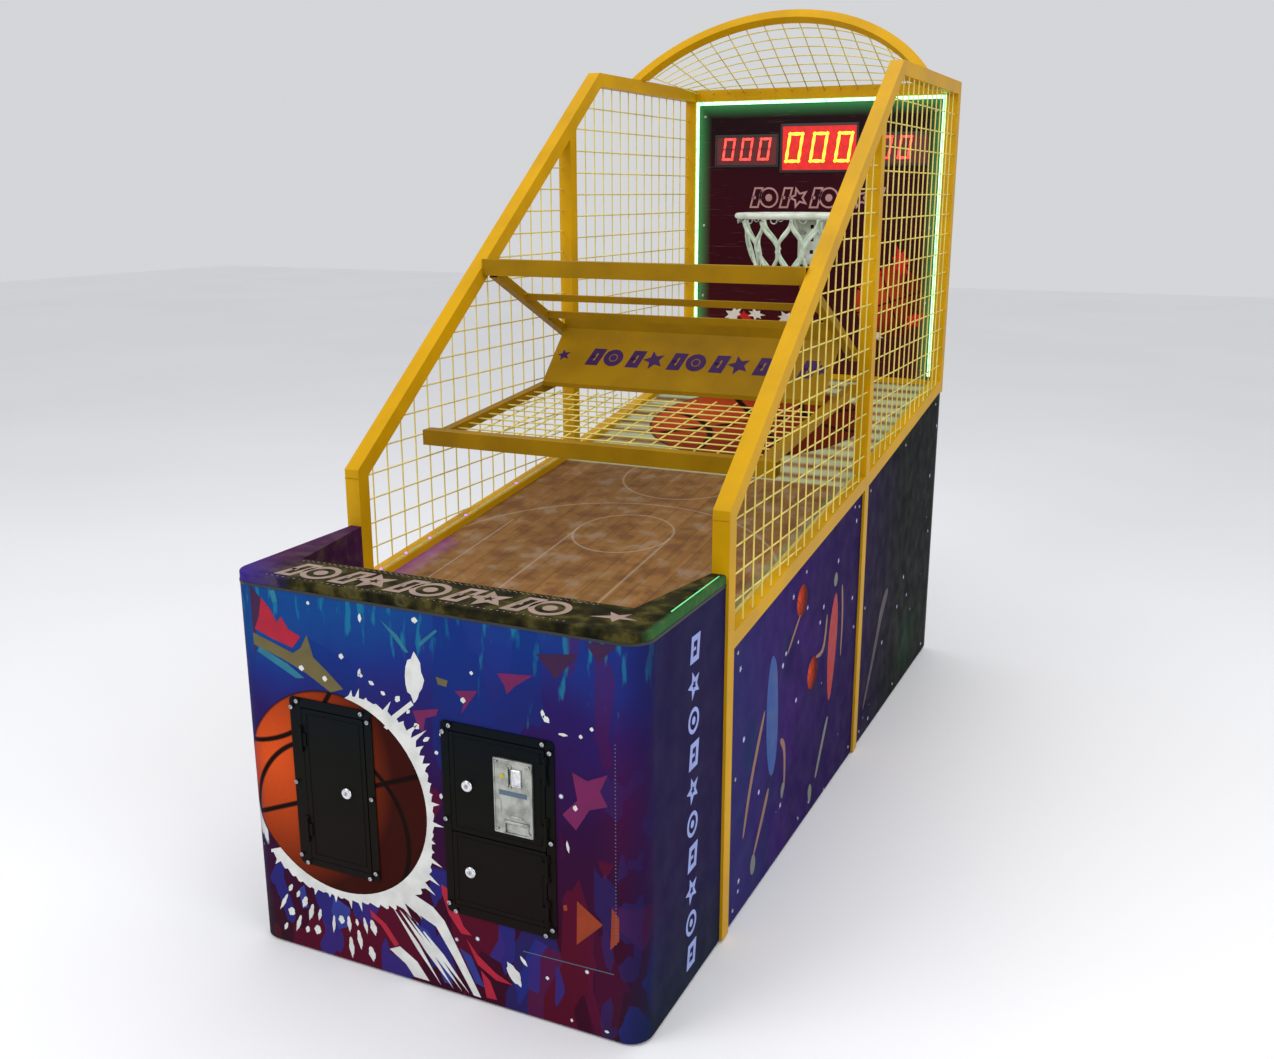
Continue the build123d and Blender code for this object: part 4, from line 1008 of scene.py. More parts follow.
class HOOP_OT_displays(Maker, bpy.types.Operator):
    """Builds the three score displays: housings, tinted windows and segments"""

    bl_idname = "hoop.displays"
    bl_label = "Score displays"

    def make(self):
        low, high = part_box("score_displays")
        outer, centre = sizes("digit") / MM, sizes("digit") / MM * 4 / 3
        windows = ((-380, -142, 1775, 1880, 3, outer), (-127, 154, 1755, 1915, 3, centre),
                   (170, 408, 1775, 1880, 2, outer))
        housings, panes, unlit = [], [], []
        lit_outer, lit_centre = [], []
        for x0, x1, z0, z1, digits, tall in windows:
            corner, far = Vector((x0 * MM, high.y - 0.004, z0 * MM)), Vector((x1 * MM, low.y + 0.004, z1 * MM))
            body = block((corner.x, low.y + 0.004, corner.z), (far.x, high.y, far.z), 0.002)
            rim = block((corner.x - 0.005, low.y, corner.z - 0.005),
                        (far.x + 0.005, low.y + 0.004, far.z + 0.005), 0.0015)
            edit(rim, lambda face: face.normal.y < -0.9)
            bpy.ops.mesh.inset(thickness=0.008)
            bpy.ops.transform.translate(value=(0, 0.002, 0))
            leave_edit()
            housings += [body, rim]
            plane = facing(low.y + 0.0018)
            pane = block((corner.x + 0.004, low.y + 0.0015, corner.z + 0.004),
                         (far.x - 0.004, low.y + 0.0019, far.z - 0.004), 0.0001, 1)
            panes.append((pane, digits, tall))
            raise_by = 2 if tall == centre else 6
            for i in range(digits):
                pitch = tall * 0.82
                x = (x0 + x1) / 2 + (i - (digits - 1) / 2) * pitch
                middle = (z0 + z1) / 2 + raise_by
                target = lit_centre if tall == centre else lit_outer
                target += segment_places(plane, x, middle, tall * 0.84, "abcdef")
                if tall == outer:
                    unlit += segment_places(plane, x, middle, tall * 0.84, "g")
        finish(join(housings), "display_housings", moulded_abs(), "machine", ("score_displays",))
        bright = [pane for pane, _, tall in panes if tall == centre]
        dim = [pane for pane, _, tall in panes if tall == outer]
        finish(join(dim), "display_windows", lit("dim_red_filter", linear("#5A0A10"), 0.35), "machine")
        finish(join(bright), "centre_window", lit("bright_red_filter", linear("#C4100C"), 0.9), "machine")
        for places, name, finish_name, colour, strength in (
            (lit_outer, "outer_digits", "lit_red_segment", colours("digit"), 2.4),
            (lit_centre, "centre_digits", "lit_amber_segment", linear("#FFC23A"), 2.2),
            (unlit, "unlit_segments", "unlit_segment", linear("#4A0C0C"), 0.0),
        ):
            piece = repeat(segment(), places)
            shape_with(piece, "SOLIDIFY", thickness=0.0005, offset=1.0)
            finish(piece, name, lit(finish_name, colour, strength), "machine")


class HOOP_OT_light_strips(Maker, bpy.types.Operator):
    """Builds the light strips: channels, milky covers and end caps"""

    bl_idname = "hoop.light_strips"
    bl_label = "Light strips"

    def make(self):
        low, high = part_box("backboard")
        front = low.y
        covers, channels, caps = [], [], []
        for side in SIDES:
            inner, outer = side * (high.x - 0.013), side * high.x
            x0, x1 = min(inner, outer), max(inner, outer)
            channels.append(block((x0, front - 0.003, low.z), (x1, front, high.z), 0.0005))
            covers.append(block((x0 + 0.0015, front - 0.008, low.z + 0.012),
                                (x1 - 0.0015, front - 0.003, high.z - 0.001), 0.0025, 4))
            caps.append(block((x0, front - 0.0085, low.z), (x1, front - 0.003, low.z + 0.012), 0.001))
        top = high.z
        channels.append(block((-high.x + 0.014, front - 0.003, top - 0.014), (high.x - 0.014, front, top),
                              0.0005))
        covers.append(block((-high.x + 0.012, front - 0.008, top - 0.0125),
                            (high.x - 0.012, front - 0.003, top - 0.0015), 0.0025, 4))
        finish(join(covers), "board_light_strips",
               lit("milky_green_cover", colours("lamp"), 3.6, linear("#5CFF8C")),
               "machine", ("led_strips",))
        clear = []
        for side in SIDES:
            clear.append(rod(at(side * 467, 464, 753.5), at(side * 467, 1540, 880.5), 0.0045, 12))
        diode = rod((0, 0, 0), (0, 0, 0.003), 0.0035, 12, 0.001)
        diodes = [Matrix.Translation(at(-467, d, 757 + (d - 462) * 0.118)) for d in (500, 610, 720, 900, 1180)]
        finish(join(clear), "rail_strips", lit("unlit_milky_cover", linear("#C9B45C"), 0.06), "machine")
        finish(repeat(diode, diodes), "rail_diodes", lit("violet_diode", linear("#8A4CFF"), 5.0), "machine")
        finish(join(channels), "strip_channels", zinc_plate(), "machine")
        finish(join(caps), "strip_end_caps", moulded_abs(), "machine")
        # A painted glint: a thin glowing slab on the right post's inner face stands in for green light on the
        # post; it is no lamp.
        glow = block(at(457.5, 428, 790), at(460, 456, 905), 0.001, 2)
        finish(glow, "painted_post_glint", lit("painted_post_glow", linear("#5CF094"), 1.3), "machine")


def bolt(radius):
    """A hexagon bolt head on a washer, on the XY plane and facing +Z."""
    washer = rod((0, 0, 0), (0, 0, radius * 0.25), radius * 1.5, 24, radius * 0.08)
    head = rod((0, 0, radius * 0.25), (0, 0, radius * 1.05), radius, 6)
    edit(head, lambda face: face.normal.z > 0.9)
    bpy.ops.mesh.inset(thickness=radius * 0.16)
    bpy.ops.transform.translate(value=(0, 0, radius * 0.1))
    leave_edit()
    return join([washer, head])


class HOOP_OT_hoop(Maker, bpy.types.Operator):
    """Finishes the ring and its bracket, with the net's hooks and the bolts"""

    bl_idname = "hoop.hoop"
    bl_label = "Ring and bracket"

    def make(self):
        dress(white_enamel(), "hoop_ring", "hoop_mount")
        dress(moulded_abs(), "ball_sensor")
        low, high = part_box("hoop_ring")
        centre, radius = (low + high) / 2, (high.x - low.x) / 2 - 0.010
        deselect()
        bpy.ops.mesh.primitive_torus_add(major_radius=0.011, minor_radius=0.0022, major_segments=18,
                                         minor_segments=8)
        hook = bpy.context.object
        hook.matrix_world = Matrix.Translation((radius, 0, -0.0125)) @ Matrix.Rotation(math.pi / 2, 4, "Y")
        settle(hook)
        turns = [Matrix.Translation(centre) @ Matrix.Rotation(i * math.tau / 12, 4, "Z") for i in range(12)]
        finish(repeat(hook, turns), "net_hooks", zinc_plate(), "machine")
        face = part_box("hoop_mount")
        plane = facing(face[1].y - 0.0061)
        heads = [on_plane(plane, x, z) for x in (-30, 30) for z in (1450, 1540)]
        finish(repeat(bolt(0.006), heads), "bracket_bolts", zinc_plate(), "machine")


def braid(points, radius, closed=False):
    """A cord along smooth points, as a mesh tube."""
    curve = bpy.data.curves.new("cord_line", "CURVE")
    curve.dimensions = "3D"
    curve.bevel_depth = radius
    curve.bevel_resolution = 2
    curve.resolution_u = 5
    spline = curve.splines.new("NURBS")
    spline.points.add(len(points) - 1)
    for point, place in zip(spline.points, points):
        point.co = (*place, 1)
    spline.order_u = 3
    spline.use_endpoint_u = not closed
    spline.use_cyclic_u = closed
    piece = bpy.data.objects.new("cord_line", curve)
    bpy.context.collection.objects.link(piece)
    pick(piece)
    bpy.ops.object.convert(target="MESH")
    return bpy.context.object


class HOOP_OT_net(Maker, bpy.types.Operator):
    """Hangs the knotted net from the ring"""

    bl_idname = "hoop.net"
    bl_label = "Net"

    def make(self):
        low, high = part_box("hoop_net")
        centre = (low + high) / 2
        top_radius, cord = (high.x - low.x) / 2, sizes("cord") / 2
        height = high.z - low.z - 2 * cord
        strands, knots = [], []
        count = 10

        def hang(turn, share, bulge=0.0):
            lean = 1 - 0.4 * share + 0.1 * (1 - share) * share
            reach = (top_radius - cord - 0.001) * lean + bulge
            turn *= math.tau / count
            side = Vector((math.cos(turn), math.sin(turn), 0)) * reach
            return centre * Vector((1, 1, 0)) + side + Vector((0, 0, high.z - cord - height * share))

        for i in range(count):
            for way in SIDES:
                steps = [step / 12 for step in range(13)]
                points = [hang(i + way * (share - 0.08 * math.sin(4 * math.pi * share)), share,
                               way * 0.004 * math.cos(2 * math.pi * share)) for share in steps]
                strands.append(braid(points, cord))
            for level in (0.5, 1.0):
                place = hang(i + (0.5 if level == 0.5 else 0.0), level)
                knots.append(Matrix.Translation(place) @ Matrix.Rotation(i * math.tau / count, 4, "Z"))
        deselect()
        bpy.ops.mesh.primitive_uv_sphere_add(segments=14, ring_count=9, radius=cord * 1.5)
        knot = bpy.context.object
        knot.scale = (0.8, 1.1, 1.0)
        settle(knot)
        finish(join([*strands, repeat(knot, knots)]), "hoop_net_cords", braided_cord(), "machine",
               ("hoop_net",), 60)


def cabinet_ribbon(low_z, high_z, proud, thick):
    """A band that follows the cabinet's front and its round corners."""
    low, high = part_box("cabinet_shell")
    band = block((low.x - proud, low.y - proud, low_z), (high.x + proud, high.y - 0.0005, high_z))

    def upright(edge):
        one, other = (band.data.vertices[v].co for v in edge.vertices)
        return max(one.y, other.y) < low.y and abs(one.x - other.x) < 1e-6

    edit(band, upright, "EDGE")
    bpy.ops.mesh.bevel(offset=0.05 + proud, segments=14, affect="EDGES")
    leave_edit()
    edit(band, lambda face: abs(face.normal.z) > 0.5 or face.normal.y > 0.5)
    bpy.ops.mesh.delete(type="FACE")
    leave_edit()
    return shape_with(band, "SOLIDIFY", thickness=thick, offset=-1.0)


class HOOP_OT_cabinet(Maker, bpy.types.Operator):
    """Prints the cabinet and fits its trims"""

    bl_idname = "hoop.cabinet"
    bl_label = "Cabinet"

    def make(self):
        dress(cabinet_print(), "cabinet_shell")
        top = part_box("cabinet_shell")[1].z
        trim = cabinet_ribbon(top - sizes("trim"), top, 0.0012, 0.002)
        finish(trim, "edge_trim", moulded_abs(), "machine")
        self.splatter()
        self.corner_marks()

    def splatter(self):
        """White paint thrown outwards from the printed ball."""
        chance = random.Random(7)
        plane = front_plane(0.0001)

        def polar(turn, reach):
            turn = math.radians(turn)
            return BALL_X + reach * math.cos(turn), BALL_Z + reach * math.sin(turn)

        swell = ((222, 30), (246, 30), (262, 14), (284, 20), (304, 50), (326, 42), (345, 14), (372, 16),
                 (402, 40), (424, 22), (440, 3))  # the rim's turn in degrees and its width there
        outer, turn = [], 222.0
        while turn < 440:
            (t0, w0), (t1, w1) = next(pair for pair in zip(swell, swell[1:]) if turn <= pair[1][0])
            base = w0 + (w1 - w0) * (turn - t0) / (t1 - t0)
            rim = BALL_REACH + base
            spike = chance.choice((0, 0, 6, 14, 26, 40)) * min(1, base / 24)
            outer += [polar(turn, rim), polar(turn + 1.1, rim + spike),
                      polar(turn + 2.2, BALL_REACH + base * 0.8)]
            turn += chance.uniform(3.6, 6.0)
        inner = [polar(440 - step * 5, BALL_REACH - 3) for step in range(44)]
        shapes = [drawn(plane, outer + inner)]
        drop, places = cutout(16, 10, ((0, 4, 1.15), (1, 3, 0.86))), []
        for step in range(19):
            turn, reach = 222 + step * 3.9 + chance.uniform(-0.6, 0.6), 292 + chance.uniform(0, 14)
            while reach < 520:
                half = chance.uniform(8, 27)
                u, v = polar(turn, reach + half)
                room = (reach + half) * math.radians(3.9) * 0.42
                clear = abs(u) < 425 and v > 34 and not (-150 < u < 40 and v < 220)
                if clear and chance.random() < 0.72:
                    places.append(on_plane(plane, u, v, turn, half / 10, chance.uniform(0.35, 0.9) * room / 10))
                reach += 2 * half + chance.uniform(10, 40)
        for step in range(17):
            turn, reach = 332 + step * 6.4, 292 + chance.uniform(0, 12)
            half = chance.uniform(4, 11)
            u, v = polar(turn, reach + half)
            if u < 24 or v > 660:
                places.append(on_plane(plane, u, v, turn, half / 10, chance.uniform(0.3, 0.7)))
        for x, z, wide, tall, lean in (
            (-24, 725, 22, 50, -3), (-16, 850, 7, 6, 0), (-152, 835, 4, 9, 0), (-206, 742, 6, 6, 0),
            (-284, 849, 4, 4, 0),
            (-314, 698, 7, 6, 0), (-253, 684, 6, 6, 0), (-158, 707, 5, 4, 0), (93, 696, 6, 6, 0),
            (115, 758, 4, 4, 0),
            (283, 690, 9, 6, -40), (276, 700, 4, 8, 10), (320, 664, 10, 3, 0), (359, 667, 4, 4, 0),
            (345, 512, 5, 6, 0),
            (327, 423, 3, 12, 10), (194, 93, 13, 27, 32), (218, 132, 4, 12, 40), (274, 108, 4, 4, 0),
            (330, 24, 3, 4, 0),
            (411, 22, 5, 3, 0), (383, 687, 4, 4, 0), (40, 548, 5, 3, 0), (36, 610, 4, 4, 0),
            (30, 470, 4, 6, 0), (42, 395, 5, 9, 0),
        ):
            places.append(on_plane(plane, x, z, lean, wide / 10, tall / 10))
        shapes.append(repeat(drop, places))
        shapes.append(drawn(front_plane(0.00024),
                            [(-34, 672), (-28, 664), (-76, 622), (-98, 596), (-106, 600), (-84, 630)]))
        streaks = [[(-98, 205), (-62, 224), (-4, 202), (24, 176), (58, 112), (110, 12), (92, 12), (44, 92),
                    (2, 156), (-52, 178)]]
        streaks.append([(-124, 66), (-96, 80), (-52, 54), (-22, 14), (-62, 14), (-82, 40)])
        for start, end, wide in ((-112, 8, 5), (-92, 40, 8), (-74, 62, 6), (-56, 80, 5)):
            top, low = 178 - (start + 112) * 0.3, 14
            middle = ((start + end) / 2, (top + low) / 2)
            streaks.append([(start, top), (start + wide, top - 6), (middle[0] + wide * 1.3, middle[1] + 4),
                            (end, low), (middle[0], middle[1] - 8)])
        shapes += [drawn(front_plane(0.0001 + 0.00002 * i), outline) for i, outline in enumerate(streaks, 1)]
        self.trim_to_face(vinyl(shapes, "paint_splashes", vinyl_of("white_splash_ink", "#D9DAD6")))
        self.flashes()

    def flashes(self):
        """Torn shapes of colour on the front."""
        inks = (
            ("maroon_flashes", "#36123E", [
                [(-440, 872), (-398, 826), (-432, 770), (-440, 700)],
                [(264, 822), (357, 836), (306, 777)],
                [(371, 862), (438, 866), (398, 826)],
            ]),
            ("blue_flashes", "#232F86", [
                [(-270, 158), (-226, 140), (-232, 92), (-262, 78), (-280, 118)],
                [(-370, 150), (-352, 168), (-344, 112), (-362, 104)],
                [(-50, 150), (-20, 140), (14, 84), (40, 24), (18, 22), (-14, 90)],
                [(60, 120), (88, 108), (120, 40), (98, 44)],
            ]),
            ("teal_flashes", "#1F7088", [
                [(-426, 730), (-352, 702), (-308, 676), (-330, 672), (-384, 696), (-432, 718)],
                [(-100, 838), (-60, 812), (-34, 778), (-42, 776), (-70, 806)],
                [(-10, 802), (34, 838), (38, 834), (-4, 796)],
                [(-386, 862), (-372, 866), (-366, 840), (-380, 838)],
            ]),
            ("olive_flashes", "#665C36", [
                [(-440, 760), (-334, 729), (-312, 744), (-294, 776), (-280, 728), (-246, 702), (-206, 668),
                 (-240, 655), (-302, 688), (-360, 710), (-440, 733)],
                [(30, 736), (58, 732), (54, 718), (34, 720)],
            ]),
            ("red_flashes", "#A81230", [
                [(-410, 844), (-420, 800), (-434, 770), (-388, 754), (-334, 741), (-311, 770), (-342, 782),
                 (-360, 808), (-371, 792), (-386, 818)],
                [(-172, 152), (-130, 126), (-98, 84), (-110, 76), (-144, 120), (-168, 134)],
                [(20, 262), (38, 256), (56, 214), (72, 176), (92, 158), (66, 156), (36, 196), (22, 240)],
                [(78, 148), (104, 116), (148, 84), (190, 66), (150, 66), (104, 92)],
                [(112, 80), (134, 60), (150, 18), (124, 16)],
            ]),
            ("magenta_flashes", "#6E1450", [
                [(175, 768), (256, 776), (216, 748), (196, 727), (190, 746)],
                [(74, 713), (128, 722), (88, 666), (96, 694)],
                [(-31, 651), (33, 666), (26, 650), (0, 640), (-8, 604), (-20, 620)],
                [(339, 588), (372, 576), (417, 598), (400, 560), (416, 530), (376, 514), (346, 464),
                 (316, 492), (350, 530)],
            ]),
            ("orange_flashes", "#8E3414", [
                [(346, 307), (404, 267), (344, 206)],
                [(424, 311), (440, 292), (440, 240), (420, 215)],
                [(314, 288), (322, 292), (324, 280), (316, 276)],
            ]),
        )
        for level, (name, code, outlines) in enumerate(inks):
            plane = front_plane(0.00002 + 0.00001 * level)
            vinyl([drawn(plane, outline) for outline in outlines], name,
                  vinyl_of(name.replace("flashes", "ink"), code))
        plane = front_plane(0.0001)
        dots = repeat(cutout(8, 1.6), [on_plane(plane, 433, 232 + 8 * i) for i in range(55)])
        line = drawn(plane, [(217, 155), (428, 160), (428, 162), (217, 157)])
        vinyl([dots, line], "dotted_guide", vinyl_of("grey_blue_ink", "#4C6474"))

    def trim_to_face(self, piece):
        """Cuts off what hangs over the face's edges."""
        for co, no in (((0.4405, 0, 0), (1, 0, 0)), ((-0.4405, 0, 0), (-1, 0, 0)), ((0, 0, 0.012), (0, 0, -1))):
            edit(piece, lambda face: True)
            bpy.ops.mesh.bisect(plane_co=co, plane_no=no, clear_outer=True, use_fill=False)
            leave_edit()

    def corner_marks(self):
        """A column of pale marks up each cheek."""
        for side, word in ((-1, "left"), (1, "right")):
            plane = cheek_plane(side, 0.0001)
            shapes = []
            for i in range(10):
                spot = on_plane(plane, side * 248, 74 + i * 79)
                if i % 3 == 1:
                    shapes.append(repeat(cutout(26, 29, hollow=9), [spot]))
                    shapes.append(repeat(cutout(16, 9), [spot]))
                elif i % 3 == 2:
                    shapes.append(repeat(star(33, 8), [spot]))
                else:
                    shapes.append(repeat(slanted(46, 58, 8, 13), [spot]))
                    shapes.append(repeat(slanted(14, 7, 0, 0), [spot]))
            # The cheek marks get a faint painted glow, though they are no lamp.
            vinyl(shapes, f"{word}_cheek_marks", vinyl_of("lavender_vinyl_painted_glow", "#8E9CD6", 0.05))


class HOOP_OT_ledge(Maker, bpy.types.Operator):
    """Prints the ledge round the ball recess"""

    bl_idname = "hoop.ledge"
    bl_label = "Ledge"

    def make(self):
        dress(ledge_moulding(), "top_ledge")
        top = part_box("top_ledge")[1].z
        plane = upon((0, FACE, top + 0.0001), (1, 0, 0), (0, 1, 0))
        shapes = lettering(on_plane(plane, 0, 70), -372, 70, 10, 88, 13)
        chance = random.Random(3)
        places = []
        for i in range(150):
            row = i % 3
            place = on_plane(plane, -402 + i * 4.9 + row * 2, (14, 127, 133)[row], chance.uniform(0, 90),
                             chance.uniform(0.3, 1), 0.4)
            places.append(place)
        shapes.append(repeat(cutout(6, 3.4), places))
        shapes.append(drawn(on_plane(plane, 0, 0),
                            [(350, 60), (392, 66), (404, 48), (410, 68), (446, 74), (414, 82), (420, 104),
                             (400, 88), (376, 100), (386, 80)]))
        vinyl(shapes, "ledge_marks", vinyl_of("rose_grey_ink", "#9C8478"), slot="ledge_board")
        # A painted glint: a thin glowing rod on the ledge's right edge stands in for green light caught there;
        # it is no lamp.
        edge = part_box("top_ledge")[1].x - 0.010
        glint = rod((edge, deep(150), top), (edge, deep(405), top), 0.0016, 10)
        finish(glint, "painted_ledge_glint", lit("painted_glint_glow", linear("#66E08C"), 0.5), "machine")


class HOOP_OT_court(Maker, bpy.types.Operator):
    """Prints and varnishes the court"""

    bl_idname = "hoop.court"
    bl_label = "Court"

    def make(self):
        dress(court_print(), "playfield")


class HOOP_OT_side_panels(Maker, bpy.types.Operator):
    """Prints the side boards and sets their cut shapes and screws"""

    bl_idname = "hoop.side_panels"
    bl_label = "Side boards"

    def make(self):
        dress(side_print(), "left_side_panels", "right_side_panels")
        for side, word in ((-1, "left"), (1, "right")):
            plane = cheek_plane(side, 0.0001)
            inks = (
                ("red_plume", "#A30E16", [
                    [(1300, 604), (1262, 560), (1236, 470), (1240, 360), (1262, 270), (1290, 300),
                     (1316, 400), (1330, 500), (1318, 570)],
                ]),
                ("blue_plume", "#17458E", [
                    [(748, 606), (722, 540), (716, 440), (730, 330), (762, 262), (796, 280), (812, 380),
                     (800, 500), (786, 570)],
                ]),
                ("sand_plume", "#8A6450", [
                    [(860, 560), (872, 556), (972, 628), (966, 640)],
                    [(700, 480), (606, 330), (560, 196), (574, 190), (624, 322), (712, 462)],
                    [(742, 250), (700, 190), (640, 110), (652, 104), (716, 178), (758, 238)],
                    [(830, 330), (866, 300), (870, 180), (882, 180), (882, 312), (838, 348)],
                    [(1210, 560), (1192, 460), (1120, 470), (1122, 458), (1206, 446), (1226, 556)],
                    [(1352, 600), (1372, 500), (1366, 380), (1378, 380), (1386, 506), (1366, 606)],
                ]),
                ("grey_plume", "#6C7068", [
                    [(1250, 240), (1196, 160), (1150, 90), (1170, 84), (1214, 150), (1276, 232)],
                    [(1290, 664), (1270, 640), (1278, 618), (1300, 616), (1312, 640)],
                    [(640, 120), (622, 90), (636, 56), (660, 64), (664, 100)],
                    [(860, 210), (846, 186), (858, 160), (874, 176), (876, 204)],
                    [(1090, 80), (1104, 36), (1120, 30), (1132, 70), (1112, 96)],
                ]),
                ("dusk_plume", "#3A2C34", [
                    [(1938, 416), (1900, 380), (1850, 330), (1800, 250), (1690, 110), (1668, 92),
                     (1660, 104), (1780, 280), (1830, 380), (1900, 440)],
                ]),
            )
            for level, (name, code, outlines) in enumerate(inks):
                sheet = cheek_plane(side, 0.00004 + 0.00003 * level)
                outlines = [[(side * d, z) for d, z in outline] for outline in outlines]
                shapes = [drawn(sheet, outline, smooth=True) for outline in outlines]
                vinyl(shapes, f"{word}_{name}", vinyl_of(f"{name}_ink", code))
            pale = [(644, 82), (849, 150), (1106, 42), (1309, 686), (525, 642), (1485, 760), (545, 94),
                    (905, 700), (1560, 820), (1180, 590)]
            stars = [on_plane(plane, side * d, z, d) for d, z in pale]
            vinyl([repeat(star(9), stars)], f"{word}_star_specks", vinyl_of("star_speck_ink", "#B4B8D8"))
            edges = [(500, 40), (500, 380), (500, 690), (1500, 40), (1500, 430), (1500, 800), (1000, 40),
                     (1000, 740)]
            edges += [(1625, 40), (1625, 450), (1625, 820), (2500, 40), (2500, 480), (2500, 950),
                      (2060, 40), (2060, 880)]
            screws([on_plane(plane, side * d, z) for d, z in edges], f"{word}_board_screws", "machine")


class HOOP_OT_doors(Maker, bpy.types.Operator):
    """Finishes the bezels, door leaves and locks, and drives the bezels' screws"""

    bl_idname = "hoop.doors"
    bl_label = "Doors and locks"

    def make(self):
        dress(powder_coat(), "service_bezel", "service_door", "coin_bezel", "upper_coin_door",
              "lower_coin_door")
        dress(lock_chrome(), "service_lock", "upper_lock", "lower_lock")
        dress(zinc_plate(), "service_lock_cam", "upper_lock_cam", "lower_lock_cam", "hinge_pins")
        plane = facing(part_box("service_bezel")[0].y + 0.0045)
        heads = []
        for node, right in (("service_bezel", -137), ("coin_bezel", 300)):
            low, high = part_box(node)
            x0, x1, z0, z1 = low.x / MM, right, low.z / MM, high.z / MM
            if node == "coin_bezel":
                z0 = 206
            middle = (z0 + z1) / 2
            spots = [(x0 + 7, middle), (x1 - 7, middle)]
            for x, a in ((x0, 1), (x1, -1)):
                for z, b in ((z0, 1), (z1, -1)):
                    spots += [(x + a * 23, z + b * 7), (x + a * 7, z + b * 23)]
            heads += [on_plane(plane, x, z) for x, z in spots]
        screws(heads, "bezel_screws", "machine", ("door_screws",))
        for node, body, edge in (
            ("service_door", "service_door", 12), ("upper_coin_door", "upper_door", 10),
            ("lower_coin_door", "lower_door", 10)
        ):
            low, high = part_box(node)
            face = deep(-4)
            x0, x1 = low.x / MM, high.x / MM
            if node == "service_door":
                x0 = -320
            else:
                x1 = 279
            z0, z1 = low.z / MM, high.z / MM
            bars = []
            for a, b in (((x0 + edge, z0 + edge), (x1 - edge, z0 + edge)),
                         ((x0 + edge, z1 - edge), (x1 - edge, z1 - edge)),
                         ((x0 + edge, z0 + edge), (x0 + edge, z1 - edge)),
                         ((x1 - edge, z0 + edge), (x1 - edge, z1 - edge))):
                bars.append(rod((a[0] * MM, face, a[1] * MM), (b[0] * MM, face, b[1] * MM), 0.0013, 10))
            finish(join(bars), f"{node}_pressed_bead", powder_coat(), body, angle=60)


class HOOP_OT_coin_mechanism(Maker, bpy.types.Operator):
    """Builds the coin plate's raised details, button, cup and flap"""

    bl_idname = "hoop.coin_mechanism"
    bl_label = "Coin mechanism"

    def make(self):
        dress(cast_zinc(), "coin_plate", "coin_return_flap")
        dress(moulded_abs(), "coin_acceptor")
        dress(zinc_plate(), "cash_box")
        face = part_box("coin_plate")[0].y

        def raised(x0, x1, z0, z1, proud, edge=0.0008):
            return block((x0 * MM, face - proud * MM, z0 * MM), (x1 * MM, face + 0.0005, z1 * MM), edge, 3)

        rim = [raised(163.5, 166.5, 428, 587, 1.4), raised(249.5, 252.5, 428, 587, 1.4),
               raised(166, 250, 586, 589.3, 1.4)]
        rim += [raised(193, 199.4, 531, 575, 3.4, 0.0014), raised(204.2, 206.0, 531, 575, 3.4)]
        rim += [raised(193, 206, 575, 579, 2.2), raised(193, 206, 527, 531, 2.2)]
        rim += [raised(186, 190, 426, 456, 3.6, 0.0014), raised(240, 244, 426, 456, 3.6, 0.0014),
                raised(186, 244, 450, 456, 3.6, 0.0016)]
        rim += [raised(172, 180, 470, 500, 1.6, 0.0012), raised(200, 230, 462, 468, 2.0, 0.0012)]
        finish(join(rim), "coin_plate_ribs", cast_zinc(), "upper_door")
        label = raised(176, 240, 511, 521, 1.0, 0.0004)
        finish(label, "coin_label", vinyl_of("blue_grey_label", "#5A6C7C"), "upper_door")
        dot = rod((0.184, face + 0.0002, 0.553), (0.184, face - 0.0012, 0.553), 0.005, 20, 0.0004)
        finish(dot, "coin_plate_dot", vinyl_of("yellow_dot", "#C8B42C"), "upper_door")
        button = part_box("coin_return_button")
        lever = block(*button, 0.0022, 4)
        edit(lever, lambda f: f.normal.y < -0.9)
        bpy.ops.mesh.inset(thickness=0.003)
        bpy.ops.transform.translate(value=(0, 0.0012, 0))
        leave_edit()
        finish(lever, "coin_button", lock_chrome(), "return_button", ("coin_return_button",))
        plane = facing(face - 0.0001)
        heads = [on_plane(plane, x, z, 0, 0.7, 0.7) for x in (171, 245) for z in (433, 581)]
        screws(heads, "coin_plate_screws", "upper_door")


class HOOP_OT_works(Maker, bpy.types.Operator):
    """Finishes the back, the floor, the feet and the electrics"""

    bl_idname = "hoop.works"
    bl_label = "Back, feet and electrics"

    def make(self):
        dress(painted_fibreboard(), "rear_panel", "base_floor")
        dress(rubber(), "levelling_feet")
        dress(circuit_board(), "control_board")
        dress(zinc_plate(), "power_supply")
        dress(moulded_abs(), "power_inlet")
        dress(vinyl_of("red_rocker", "#A81A14"), "power_rocker")
        spots = []
        for node, heights in (("rear_panel", (40, 480, 930)), ("backboard_cover", (1050, 1500, 1980))):
            plane = upon((0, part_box(node)[1].y - COUNTERSINK, 0), (-1, 0, 0), (0, 0, 1))
            spots += [on_plane(plane, x, z, 0, 0.9, 0.9) for x in (-440, 0, 440) for z in heights]
        screws(spots, "rear_screws", "machine")


